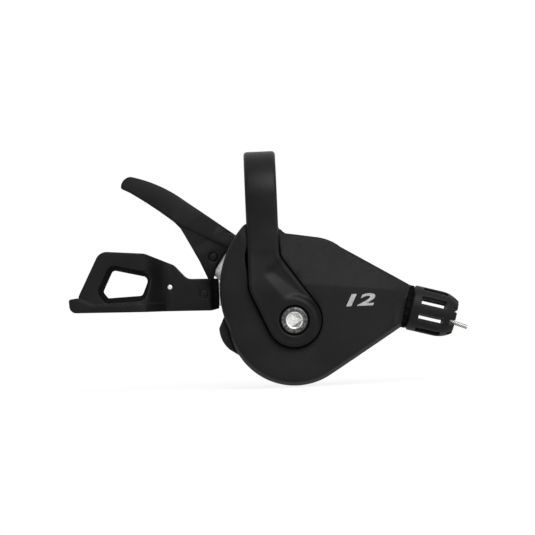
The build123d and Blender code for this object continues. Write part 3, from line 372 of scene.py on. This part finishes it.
for node in ("main_axle", "base_plate", "axle_washer"):
    piece_from(node, node + "_zinc", "housing", zinc_plate, [(0.1, 2, anywhere)])
piece_from("axle_nut", "axle_nut_hexagon", "housing", dark_steel, [(0.25, 2, anywhere)])

# The cable drum: moulded acetal with a groove for the wire, and a zinc-cast nipple in its pocket.
# The steel ratchet wheel is pressed on its hub, and a spiral spring of steel strip lies in its recess.
# Acetal is waxy and smooth, with faint flow marks about 3 mm apart.
acetal, tree, shader, place = new_finish("moulded_acetal", "#232326", 0.3, 0.0, 0.4)
flow = add_node(
    tree, "ShaderNodeTexNoise", [("Vector", place, "Object")], Scale=330, Detail=2.0, Distortion=1.2
)
skin = add_node(
    tree, "ShaderNodeValToRGB", [("Fac", flow, "Fac")], ramp=((0.35, "#1f1f22"), (0.65, "#29292c"))
)
gloss = add_node(tree, "ShaderNodeMapRange", [("Value", flow, "Fac")], To_Min=0.25, To_Max=0.38)
dress(tree, shader, Base_Color=(skin, "Color"), Roughness=(gloss, "Result"))
for node, name, slot, material, width, segments in (
    ("winding_drum", "winding_drum_moulding", "drum_plastic", acetal, 0.15, 2),
    ("ratchet_wheel", "ratchet_wheel_stamped", "plate_steel", zinc_plate, 0.06, 1),
    ("cable_nipple", "cable_nipple_cast", "cable_steel", zinc_plate, 0.25, 2),
):
    piece_from(node, name, "drum", material, [(width, segments, anywhere)])
# The springs' steel keeps fine marks of the drawing die, shown coarser here, at about 0.6 mm.
spring_wire, tree, shader, place = new_finish("drawn_spring_wire", "#6c6c70", 0.36, 1.0)
drawing = add_node(tree, "ShaderNodeTexNoise", [("Vector", place, "Object")], Scale=1800, Detail=4.0)
skin = add_node(
    tree, "ShaderNodeValToRGB", [("Fac", drawing, "Fac")], ramp=((0.35, "#5b5b60"), (0.65, "#7e7e82"))
)
gloss = add_node(tree, "ShaderNodeMapRange", [("Value", drawing, "Fac")], To_Min=0.28, To_Max=0.45)
dress(tree, shader, Base_Color=(skin, "Color"), Roughness=(gloss, "Result"))
piece_from("drum_spring", "drum_spring_spiral", "housing", spring_wire, [(0.05, 1, anywhere)])

# The two pawls with their pins, clip and springs: hardened steel, stamped, with drawn wire springs.
# One rides on the thumb lever and winds the ratchet, the other holds it from the base plate.
for node, ending, body, slot, material, width in (
    ("winding_pawl", "stamped", "winding_pawl", "plate_steel", zinc_plate, 0.08),
    ("winding_pawl_pin", "headed", "thumb_lever", "plate_steel", zinc_plate, 0.08),
    ("winding_pawl_spring", "coil", "thumb_lever", "spring_steel", spring_wire, 0.08),
    ("position_pawl", "stamped", "position_pawl", "plate_steel", zinc_plate, 0.08),
    ("position_pawl_pin", "shouldered", "housing", "plate_steel", zinc_plate, 0.08),
    ("position_pawl_clip", "sprung", "housing", "spring_steel", spring_wire, 0.05),
    ("position_pawl_spring", "coil", "housing", "spring_steel", spring_wire, 0.08),
):
    piece_from(node, node + "_" + ending, body, material, [(width, 1, anywhere)])

# The thumb lever: a zinc-plated plate on a brass bush, with a paddle of glass-filled nylon riveted to it.
# The paddle is a blade that curves back behind the bar, with a thin web under it. It is moulded dull: glass
# fibres of 0.3 mm, drawn at 0.5 mm to show here, lie in clouds of about 9 mm. Its edges are painted lighter,
# partly as polish from a thumb and partly as a painted highlight on the rounded edge.
filled_nylon, tree, shader, place = new_finish("glass_filled_nylon", "#0a0a0b", 0.5, 0.0, 0.14)
fibre = add_node(tree, "ShaderNodeTexNoise", [("Vector", place, "Object")], Scale=1900, Detail=3.0)
cloud = add_node(tree, "ShaderNodeTexNoise", [("Vector", place, "Object")], Scale=110, Detail=3.0)
skin = add_node(
    tree, "ShaderNodeValToRGB", [("Fac", cloud, "Fac")], ramp=((0.35, "#080809"), (0.65, "#0e0e0f"))
)
rub_and_sheen, soft = wear_and_sheen_edges(tree, place, 0.0007, 500)
colour = add_node(
    tree, "ShaderNodeMixRGB", [("Fac", rub_and_sheen, "Value"), ("Color1", skin, "Color")], Color2=linear("#202021")
)
gloss = add_node(tree, "ShaderNodeMapRange", [("Value", fibre, "Fac")], To_Min=0.4, To_Max=0.6)
relief = add_node(
    tree, "ShaderNodeBump", [("Height", fibre, "Fac"), ("Normal", soft, "Normal")],
    Strength=1.0, Distance=0.000012,
)
dress(tree, shader, Base_Color=(colour, "Color"), Roughness=(gloss, "Result"), Normal=(relief, "Normal"))
# The bush shows turning rings about 0.4 mm apart, and the rivet's black oxide specks of about 0.6 mm.
bush_brass, tree, shader, place = new_finish("turned_brass", "#b08d4a", 0.3, 1.0)
centred = add_node(tree, "ShaderNodeMapping", [("Vector", place, "Object")], Location=to_axle)
rings = add_node(
    tree, "ShaderNodeTexWave", [("Vector", centred, "Vector")], wave_type="RINGS", rings_direction="Y",
    Scale=800.0, Distortion=1.0,
)
skin = add_node(
    tree, "ShaderNodeValToRGB", [("Fac", rings, "Fac")], ramp=((0.2, "#a4823f"), (0.8, "#bd9a5a"))
)
dress(tree, shader, Base_Color=(skin, "Color"))
black_oxide, tree, shader, place = new_finish("black_oxide_steel", "#08080a", 0.45, 0.0, 0.16)
speck = add_node(tree, "ShaderNodeTexNoise", [("Vector", place, "Object")], Scale=1600, Detail=3.0)
skin = add_node(
    tree, "ShaderNodeValToRGB", [("Fac", speck, "Fac")], ramp=((0.35, "#060607"), (0.65, "#0d0d0e"))
)
gloss = add_node(tree, "ShaderNodeMapRange", [("Value", speck, "Fac")], To_Min=0.34, To_Max=0.5)
dress(tree, shader, Base_Color=(skin, "Color"), Roughness=(gloss, "Result"))
for node, ending, body, slot, material, width in (
    ("thumb_lever_plate", "stamped", "thumb_lever", "plate_steel", zinc_plate, 0.12),
    ("thumb_lever_bush", "turned", "thumb_lever", "bush_brass", bush_brass, 0.1),
    ("thumb_lever_spring", "coil", "housing", "spring_steel", spring_wire, 0.15),
):
    piece_from(node, node + "_" + ending, body, material, [(width, 2, anywhere)])
thumb_paddle = piece_from(
    "thumb_lever_paddle", "thumb_lever_paddle_blade", "thumb_lever", filled_nylon,
    [(0.45, 3, anywhere)], clamp=False,
)


def moulded_bend(steps, at, reach):
    """How far a moulded bend lies from a profile of straight runs: the profile's mean over a stretch,
    less its own height."""
    half, heights = 6, []
    for spot in [at + k * reach / half for k in range(-half, half + 1)] + [at]:
        for (low, start), (high, end) in zip(steps, steps[1:]):
            if spot <= high:
                heights.append(start + (end - start) * (spot - low) / (high - low))
                break
    return sum(heights[:-1]) / (2 * half + 1) - heights[-1]


# The blade's two folds are moulded round; it is cut across them, and each cut moves to the rounded line.
# The web's foot runs on behind the release lever, its rear edge leaves the steel plate in view, and the
# blade's root reaches on under the cover.
rivet_x, rivet_z, sweep_x, sweep_z = -0.0145, -0.0158, -0.391, 0.921
blade_profile, blade_reach = ((-0.04, 0), (0.0054, 0), (0.011, 0.0065), (0.06, 0.0175)), 0.0036
fold_step, root_start, root_step = 0.0006, 0.0012, 0.0005
blade_growth, growth_height, growth_fade = 0.03, 0.004, (0.002, 0.012)
web_shift, web_foot, web_fade, rivet_room = 0.0009, -0.0045, (-0.0023, 0.005), 0.0022
root_out, root_down, root_width, root_height = 0.0013, 0.00096, (0.002, 0.0055), (0.0005, 0.003)
blade = bmesh.new()
blade.from_mesh(thumb_paddle.data)
rivet, sweep = Vector((rivet_x, 0, rivet_z)), Vector((sweep_x, 0, sweep_z))
cuts = [(rivet + sweep * fold_step * k, sweep) for k in range(1, 27)]
cuts += [(rivet + Vector((root_start + k * root_step, 0, 0)), Vector((1, 0, 0))) for k in range(12)]
for spot, direction in cuts:
    cut(blade, blade.faces[:], spot, direction)
for vert in blade.verts:
    x, z = vert.co.x - rivet_x, vert.co.z - rivet_z
    vert.co.y += moulded_bend(blade_profile, x * sweep_x + z * sweep_z, blade_reach)
    vert.co.x += x * blade_growth * ease(z, *growth_fade)
    vert.co.z += (z - growth_height) * blade_growth * ease(z, *growth_fade)
    if z < web_foot:
        vert.co.z -= web_shift
    if hypot(x, z) > rivet_room and x > 0:
        vert.co.x -= web_shift * ease(-z, *web_fade)
        root = ease(x, *root_width) * ease(z, *root_height)
        vert.co.x += root_out * root
        vert.co.z -= root_down * root
blade.to_mesh(thumb_paddle.data)
blade.free()
thumb_paddle.data.set_sharp_from_angle(angle=crease_angle)
piece_from(
    "thumb_lever_rivet", "thumb_lever_rivet_head", "thumb_lever", black_oxide,
    [(0.12, 2, anywhere)],
)

# The release lever: a zinc-plated plate round the drum's hub, with a windowed nylon paddle.
# A blackened rivet and a polished pin hold the paddle, whose frame steps forward to the rider's finger.
for node, ending, body, slot, material, width in (
    ("release_lever_plate", "stamped", "release_lever", "plate_steel", zinc_plate, 0.12),
    ("release_lever_spring", "coil", "housing", "spring_steel", spring_wire, 0.15),
):
    piece_from(node, node + "_" + ending, body, material, [(width, 2, anywhere)])
# The window's walls and the stepped end take a copy of the nylon with little reflection and coarse pits of
# about 0.6 mm,
# so they look darker: painted shade on faces that stand in shade.
nylon_with_painted_shade, tree, shader, place = new_finish("nylon_darkened_as_painted_shade", "#0a0a0b", 0.85, 0.0, 0.02)
pits = add_node(tree, "ShaderNodeTexVoronoi", [("Vector", place, "Object")], Scale=1600)
skin = add_node(
    tree, "ShaderNodeValToRGB", [("Fac", pits, "Distance")], ramp=((0.1, "#070708"), (0.7, "#0f0f10"))
)
relief = add_node(tree, "ShaderNodeBump", [("Height", pits, "Distance")], Strength=1.0, Distance=0.00003)
dress(tree, shader, Base_Color=(skin, "Color"), Normal=(relief, "Normal"))
release_paddle = piece_from(
    "release_lever_paddle", "release_lever_paddle_frame", "release_lever", filled_nylon,
    [(0.45, 3, anywhere)],
)
# The step of the frame is moulded as a soft bend, and the end by the housing is set back in a step.
bend_foot, bend_head, bend_reach, bend_margin, bend_step = -0.0341, -0.0286, 0.0026, 0.0032, 0.0005
frame_profile = ((-0.09, -0.007), (bend_foot, -0.007), (bend_head, 0), (0.02, 0))
end_start, end_run, end_step, end_front, end_back = -0.0154, 0.0004, 0.0009, 0.0021, 0.0025
window_x, window_z, window_reach, wall_turn, frame_shrink = -0.0397, -0.0225, 0.0095, 0.75, 0.02
frame_shape = bmesh.new()
frame_shape.from_mesh(release_paddle.data)
spots = [bend_foot - bend_margin + k * bend_step for k in range(24)]
spots += [end_start + k * end_run for k in range(6)]
for spot in spots:
    cut(frame_shape, frame_shape.faces[:], (spot, 0, 0), (1, 0, 0))
for vert in frame_shape.verts:
    x, y, z = vert.co
    vert.co.y += moulded_bend(frame_profile, x, bend_reach)
    if y < end_front:
        vert.co.y += end_step * ease(x, end_start, end_start + end_run)
    vert.co.x += max(0.0, bend_head - x) * frame_shrink
frame_shape.normal_update()
# Faces on the window's walls and on the stepped end take the darker nylon, as painted shade.
for face in frame_shape.faces:
    middle = face.calc_center_median()
    inwards = (window_x - middle.x) * face.normal.x + (window_z - middle.z) * face.normal.z
    by_window = inwards > 0 and hypot(middle.x - window_x, middle.z - window_z) < window_reach
    on_end = middle.x > end_start and middle.y < end_back
    if abs(face.normal.y) < wall_turn and by_window or on_end:
        face.material_index = 1
frame_shape.to_mesh(release_paddle.data)
frame_shape.free()
release_paddle.data.materials.append(nylon_with_painted_shade)
release_paddle.data.set_sharp_from_angle(angle=crease_angle)
for node, ending, material, width in (
    ("release_lever_rivet", "head", black_oxide, 0.12),
    ("release_lever_pin", "polished", bright_steel, 0.1),
):
    piece_from(node, node + "_" + ending, "release_lever", material, [(width, 2, anywhere)])

# The two covers and the cable port's cap: glass-filled nylon, moulded with a fine spark-eroded grain.
# They meet at a parting line behind the cable, and three screws from the back hold them.
# The grain is about 0.2 mm, drawn at 0.4 mm to show here; the flow of the melt leaves clouds of about 11 mm.
moulded_cover, tree, shader, place = new_finish("spark_grained_nylon", "#0c0c0d", 0.48, 0.0, 0.16)
spark = add_node(tree, "ShaderNodeTexVoronoi", [("Vector", place, "Object")], Scale=2300)
cloud = add_node(tree, "ShaderNodeTexNoise", [("Vector", place, "Object")], Scale=90, Detail=4.0)
skin = add_node(
    tree, "ShaderNodeValToRGB", [("Fac", cloud, "Fac")], ramp=((0.35, "#0a0a0b"), (0.65, "#101011"))
)
rub_and_sheen, soft = wear_and_sheen_edges(tree, place, 0.0012, 450)
# A cover's lower rounded edge, where its surface turns from the front to the underside, is painted lighter:
# a painted reflection of the white floor below it.
facing = add_node(tree, "ShaderNodeSeparateXYZ", [("Vector", place, "Normal")])
turn = add_node(tree, "ShaderNodeMath", [(0, facing, "Y")], operation="ABSOLUTE")
floor_sheen_band = add_node(
    tree, "ShaderNodeValToRGB", [("Fac", turn, "Value")],
    ramp=((0.3, "#000000"), (0.55, "#ffffff"), (0.8, "#ffffff"), (0.93, "#000000")),
)
facing_floor = add_node(tree, "ShaderNodeMapRange", [("Value", facing, "Z")], From_Min=-0.15, From_Max=-0.35)
floor_sheen = add_node(tree, "ShaderNodeMath", [(0, floor_sheen_band, "Color"), (1, facing_floor, "Result")], operation="MULTIPLY")
wear_and_sheen = add_node(tree, "ShaderNodeMath", [(0, rub_and_sheen, "Value"), (1, floor_sheen, "Value")], operation="MAXIMUM")
# Edges take the lighter grey as wear and as a painted highlight, and the lower edge as a painted floor
# reflection.
colour = add_node(
    tree, "ShaderNodeMixRGB", [("Fac", wear_and_sheen, "Value"), ("Color1", skin, "Color")], Color2=linear("#2a2a2c")
)
gloss = add_node(tree, "ShaderNodeMapRange", [("Value", spark, "Distance")], To_Min=0.54, To_Max=0.7)
relief = add_node(
    tree, "ShaderNodeBump", [("Height", spark, "Distance"), ("Normal", soft, "Normal")],
    Strength=1.0, Distance=0.00001,
)
dress(tree, shader, Base_Color=(colour, "Color"), Roughness=(gloss, "Result"), Normal=(relief, "Normal"))
front_cover = piece_from(
    "front_cover", "front_cover_shell", "housing", moulded_cover, [(0.25, 2, anywhere)]
)
# The channel's walls close on the band's sides, and a slot is left on the far side, below the strip.
wall_near, wall_far, wall_shift, channel_foot = 0.0048, 0.0052, 0.00038, -0.0145
side_far, side_near, side_back, side_head, side_step = -0.008, -0.0044, -0.008, -0.0135, 0.001
slot_near, slot_far, slot_back, slot_width = 0.0044, 0.0053, -0.0095, 0.0007
slot_top, slot_middle, slot_end = 0.0122, 0.0165, 0.0222
shell = bmesh.new()
shell.from_mesh(front_cover.data)
shell.normal_update()
for vert in shell.verts:
    if wall_near < abs(vert.co.x) < wall_far and vert.co.z > channel_foot:
        vert.co.x -= wall_shift if vert.co.x > 0 else -wall_shift
for k in range(9):
    beside = [
        f for f in shell.faces
        if side_far < f.calc_center_median().x < side_near and f.calc_center_median().y < side_back
    ]
    cut(shell, beside, (0, 0, side_head - k * side_step), (0, 0, 1))
for vert in shell.verts:
    if slot_near < -vert.co.x < slot_far and vert.co.y < slot_back:
        opening, closing = ease(-vert.co.z, slot_top, slot_middle), ease(-vert.co.z, slot_middle, slot_end)
        vert.co.x -= slot_width * opening * (1 - closing)
shell.normal_update()
# The facet above the numerals is drawn to follow the crown, so that its crease is straight and crisp.
# In the solid it is the largest face that looks ahead and a little up.
facet = max(
    (f for f in shell.faces if f.normal.y < -0.9 and f.normal.z > 0.2), key=lambda f: f.calc_area()
)
facet_normal, facet_spot = facet.normal.copy(), facet.verts[0].co.copy()
crease_x, crease_z, crease_fall = 0.0092, -0.0243, -0.1076
crease_margin, row_start, row_step, crease_step = 0.0002, 0.0085, 0.0025, 0.002
crown_front, crown_radius, crown_back = -0.014, 0.116, -0.009
shell_depth, crown_fade = 0.006, (0.0052, 0.0082)


def crown_at(x):
    """Where the front cover's crown lies, at a place across it."""
    return crown_front + crown_radius - sqrt(crown_radius**2 - (x - axle_x) ** 2)


cuts = [((crease_x, 0, crease_z), (-crease_fall, 0, 1))]
cuts += [((row_start + k * row_step, 0, 0), (1, 0, 0)) for k in range(14)]
cuts += [((crease_x, 0, crease_z + k * crease_step), (-crease_fall, 0, 1)) for k in range(1, 8)]
for spot, direction in cuts:
    front = [f for f in shell.faces if f.normal.y < ahead and f.calc_center_median().y < crown_back]
    cut(shell, front, spot, direction)
on_crease = set()
for vert in shell.verts:
    x, y, z = vert.co
    if x < crown_fade[0]:
        continue
    crown = crown_at(x)
    above = z - crease_z - crease_fall * (x - crease_x)
    fall = (facet_normal.x * (x - facet_spot.x) + facet_normal.z * (z - facet_spot.z)) / facet_normal.y
    solid = max(crown, facet_spot.y - fall)
    drawn = crown - max(0.0, above) * facet_normal.z / facet_normal.y
    if abs(above) < merge_distance and y < solid + crease_margin:
        on_crease.add(vert)
    depth_share = min(1.0, max(0.0, 1 - (y - solid) / shell_depth))
    vert.co.y += (drawn - solid) * depth_share * ease(x, *crown_fade)
for edge in shell.edges:
    if edge.verts[0] in on_crease and edge.verts[1] in on_crease:
        edge.smooth = False
bmesh.ops.triangulate(shell, faces=[f for f in shell.faces if len(f.verts) > 4])
shell.to_mesh(front_cover.data)
shell.free()
for node, name, slot, material, width, segments in (
    ("rear_cover", "rear_cover_shell", "cover_plastic", moulded_cover, 0.25, 2),
    ("cable_port_cap", "cable_port_cap_moulding", "cover_plastic", moulded_cover, 0.6, 3),
    ("cover_screws", "cover_screws_turned", "bolt_steel", dark_steel, 0.08, 1),
):
    piece_from(node, name, "housing", material, [(width, segments, anywhere)])

# Two plain numerals, pad printed in light grey on the front cover's crown: the number of sprockets.
# The ink is thin over the grain, so it is a little patchy, in spots of about 0.6 mm.
print_ink, tree, shader, place = new_finish("pad_print_ink", "#868688", 0.55, 0.0, 0.3)
patch = add_node(tree, "ShaderNodeTexNoise", [("Vector", place, "Object")], Scale=1700, Detail=4.0)
skin = add_node(
    tree, "ShaderNodeValToRGB", [("Fac", patch, "Fac")], ramp=((0.3, "#78787a"), (0.6, "#959597"))
)
dress(tree, shader, Base_Color=(skin, "Color"))
print_x, print_z, print_stretch, ink_height, longest_edge = 0.0257, -0.0299, 2.0, 0.00003, 0.0008
numerals = bpy.data.curves.new("cover_numerals_curve", "FONT")
numerals.body, numerals.size, numerals.align_x, numerals.align_y = "12", 0.0046, "CENTER", "CENTER"
numerals.offset, numerals.shear = 0.00013, 0.25
flat = bpy.data.objects.new("cover_numerals_flat", numerals)
bpy.context.scene.collection.objects.link(flat)
bpy.context.view_layer.update()
ink_mesh = bpy.data.meshes.new_from_object(flat.evaluated_get(bpy.context.evaluated_depsgraph_get()))
bpy.data.objects.remove(flat)
ink = bmesh.new()
ink.from_mesh(ink_mesh)
bmesh.ops.scale(ink, verts=ink.verts, vec=(print_stretch, 1.0, 1.0))
bmesh.ops.triangulate(ink, faces=ink.faces)
long_edges = [e for e in ink.edges if e.calc_length() > longest_edge]
bmesh.ops.subdivide_edges(ink, edges=long_edges, cuts=3, use_grid_fill=True)
for vert in ink.verts:
    across, up = vert.co.x + print_x, vert.co.y + print_z
    vert.co = (across, crown_at(across) - ink_height, up)
bmesh.ops.recalc_face_normals(ink, faces=ink.faces)
ink.to_mesh(ink_mesh)
ink.free()
cover_numerals = bpy.data.objects.new("cover_numerals", ink_mesh)
bpy.context.scene.collection.objects.link(cover_numerals)
ink_mesh.materials.clear()
ink_mesh.materials.append(print_ink)
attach(cover_numerals, "housing")

# The barrel adjuster: an aluminium barrel in the cover's nose, a click collar and a slotted knob.
# Knob and collar are nylon mouldings; the slots give the fingers grip.
# The lathe left bands about 0.35 mm apart on the barrel.
turned_alloy, tree, shader, place = new_finish("turned_aluminium", "#b9b9ba", 0.3, 1.0)
lathe = add_node(
    tree, "ShaderNodeTexWave", [("Vector", place, "Object")], wave_type="BANDS", bands_direction="X",
    Scale=900.0, Distortion=0.6,
)
skin = add_node(
    tree, "ShaderNodeValToRGB", [("Fac", lathe, "Fac")], ramp=((0.2, "#a9a9aa"), (0.8, "#c6c6c7"))
)
relief = add_node(tree, "ShaderNodeBump", [("Height", lathe, "Fac")], Strength=1.0, Distance=0.000005)
dress(tree, shader, Base_Color=(skin, "Color"), Normal=(relief, "Normal"))
for node, ending, body, slot, material, width, segments in (
    ("adjuster_barrel", "turned", "adjuster", "barrel_alloy", turned_alloy, 0.15, 2),
    # The collar takes the darker nylon too: painted shade in the gap between the cover's nose and the knob.
    ("adjuster_collar", "moulding", "housing", "cover_plastic", nylon_with_painted_shade, 0.1, 1),
    ("adjuster_knob", "slotted", "adjuster", "cover_plastic", filled_nylon, 0.35, 3),
):
    piece_from(node, node + "_" + ending, body, material, [(width, segments, anywhere)])

# The inner wire: nineteen strands of bare stainless wire laid in a spiral, 1.2 mm thick.
# It runs from the nipple over the drum, through the adjuster, and ends just outside it.
# The outer strands lie about 0.45 mm apart, at a slant.
stranded_wire, tree, shader, place = new_finish("stranded_steel_wire", "#9b9b98", 0.34, 1.0)
laid = add_node(tree, "ShaderNodeMapping", [("Vector", place, "Object")], Rotation=(0, radians(-50), 0))
strands = add_node(
    tree, "ShaderNodeTexWave", [("Vector", laid, "Vector")], wave_type="BANDS", bands_direction="X",
    Scale=700.0, Distortion=0.4,
)
skin = add_node(
    tree, "ShaderNodeValToRGB", [("Fac", strands, "Fac")], ramp=((0.25, "#6e6e6b"), (0.75, "#b4b4b0"))
)
relief = add_node(tree, "ShaderNodeBump", [("Height", strands, "Fac")], Strength=1.0, Distance=0.00003)
dress(tree, shader, Base_Color=(skin, "Color"), Normal=(relief, "Normal"))
inner_wire = piece_from("inner_cable", "inner_cable_strands", "housing", stranded_wire, [])
# Past the barrel nothing guides the wire: it sags to the foot of the knob's mouth and leaves it almost
# straight. That free end is drawn anew, ring by ring.
wire_slope, drum_radius, mouth_sag, stub_fall, stub_steps = radians(15.6), 0.0109, 0.0015, 0.1, 24
free_start, sag_start, mouth, wire_end = 0.0328, 0.0395, 0.0445, 0.0484
run = Vector((cos(wire_slope), 0, -sin(wire_slope)))
rise = Vector((sin(wire_slope), 0, cos(wire_slope)))
leaves_drum = Vector((axle_x, 0, axle_z)) + rise * drum_radius
stub = bmesh.new()
stub.from_mesh(inner_wire.data)
cut(stub, stub.faces[:], leaves_drum + run * free_start, run, clear_outer=True)
sag, step_length = 0.0, (wire_end - free_start) / stub_steps
rim_edges = [e for e in stub.edges if e.is_boundary]
for k in range(1, stub_steps + 1):
    reach = free_start + k * step_length
    sunk = mouth_sag * ease(reach, sag_start, mouth) + stub_fall * max(0.0, reach - mouth)
    grown = bmesh.ops.extrude_edge_only(stub, edges=rim_edges)["geom"]
    ends = [g for g in grown if isinstance(g, bmesh.types.BMVert)]
    bmesh.ops.translate(stub, verts=ends, vec=run * step_length - rise * (sunk - sag))
    rim_edges = [g for g in grown if isinstance(g, bmesh.types.BMEdge) and g.is_boundary]
    sag = sunk
bmesh.ops.holes_fill(stub, edges=rim_edges)
bmesh.ops.recalc_face_normals(stub, faces=stub.faces)
for face in stub.faces:
    face.smooth = True
stub.to_mesh(inner_wire.data)
stub.free()
inner_wire.data.set_sharp_from_angle(angle=crease_angle)

# The studio: a white floor that keeps a soft shadow near the object, a wide light above the front,
# a weak one on the right, and the camera square to the bolt's head. The shadow fades out 130 mm away.


def plain_sight(tree):
    """1 for what the camera sees, directly, in a reflection or through a clear piece, and otherwise 0."""
    ray = add_node(tree, "ShaderNodeLightPath")
    seen = add_node(
        tree, "ShaderNodeMath", [(0, ray, "Is Camera Ray"), (1, ray, "Is Glossy Ray")], operation="MAXIMUM"
    )
    return add_node(
        tree, "ShaderNodeMath", [(0, seen, 0), (1, ray, "Is Transmission Ray")], operation="MAXIMUM"
    )


floor_size, floor_gap = 3.0, 0.0005
floor_mesh = bpy.data.meshes.new("studio_floor")
ground = bmesh.new()
bmesh.ops.create_grid(ground, x_segments=1, y_segments=1, size=floor_size)
bmesh.ops.translate(ground, verts=ground.verts, vec=(0, 0, solid_box[0].z - floor_gap))
ground.to_mesh(floor_mesh)
ground.free()
floor = bpy.data.objects.new("studio_floor", floor_mesh)
bpy.context.scene.collection.objects.link(floor)
paper, tree, shader, place = new_finish("white_paper", "#fafafa", 0.9, 0.0, 0.1)
white = add_node(tree, "ShaderNodeEmission", Color=(1, 1, 1, 1), Strength=1.0)
sight = plain_sight(tree)
spread = add_node(tree, "ShaderNodeMapping", [("Vector", place, "Object")], Scale=(7.0, 7.0, 7.0))
near_object = add_node(
    tree, "ShaderNodeTexGradient", [("Vector", spread, "Vector")], gradient_type="SPHERICAL"
)
shade = add_node(tree, "ShaderNodeMapRange", [("Value", near_object, "Fac")], To_Min=1.0, To_Max=0.8)
share = add_node(tree, "ShaderNodeMath", [(0, sight, 0), (1, shade, "Result")], operation="MULTIPLY")
cover_white = add_node(
    tree, "ShaderNodeMixShader", [(0, share, 0), (1, shader, "BSDF"), (2, white, "Emission")]
)
tree.links.new(cover_white.outputs[0], tree.nodes["Material Output"].inputs["Surface"])
floor_mesh.materials.append(paper)

world = bpy.data.worlds.new("studio_world")
bpy.context.scene.world = world
world.use_nodes = True
tree = world.node_tree
sky = tree.nodes["Background"]
sky.inputs["Color"].default_value = (1, 1, 1, 1)
level = add_node(tree, "ShaderNodeMapRange", [("Value", plain_sight(tree), 0)], To_Min=0.8, To_Max=1.0)
tree.links.new(level.outputs["Result"], sky.inputs["Strength"])

lit_spot = Vector((0, 0, -0.02))
for name, spot, size, power in (
    ("key_light", (0.2, -0.5, 0.5), 0.45, 4.8),
    ("fill_light", (0.5, -0.35, 0.1), 0.3, 0.4),
):
    lamp = bpy.data.lights.new(name, "AREA")
    lamp.size, lamp.energy = size, power
    light = bpy.data.objects.new(name, lamp)
    light.location = spot
    light.rotation_mode = "QUATERNION"
    light.rotation_quaternion = (lit_spot - Vector(spot)).to_track_quat("-Z", "Y")
    bpy.context.scene.collection.objects.link(light)

camera_data = bpy.data.cameras.new("camera")
camera_data.sensor_width, camera_data.lens = 36.0, 200.0
camera_data.clip_start, camera_data.clip_end = 0.05, 20.0
camera = bpy.data.objects.new("camera", camera_data)
bpy.context.scene.collection.objects.link(camera)
roll, frame_width, middle = radians(2.5), 0.1529, Vector((0.00098, 0, -0.0195))
right, up = Vector((cos(roll), 0, -sin(roll))), Vector((sin(roll), 0, cos(roll)))
back = Vector((0, -1, 0))
eye = middle + back * (frame_width * camera_data.lens / camera_data.sensor_width)
camera.matrix_world = Matrix((right, up, back)).transposed().to_4x4()
camera.matrix_world.translation = eye
bpy.context.scene.camera = camera
bpy.context.scene.view_settings.view_transform = "Standard"
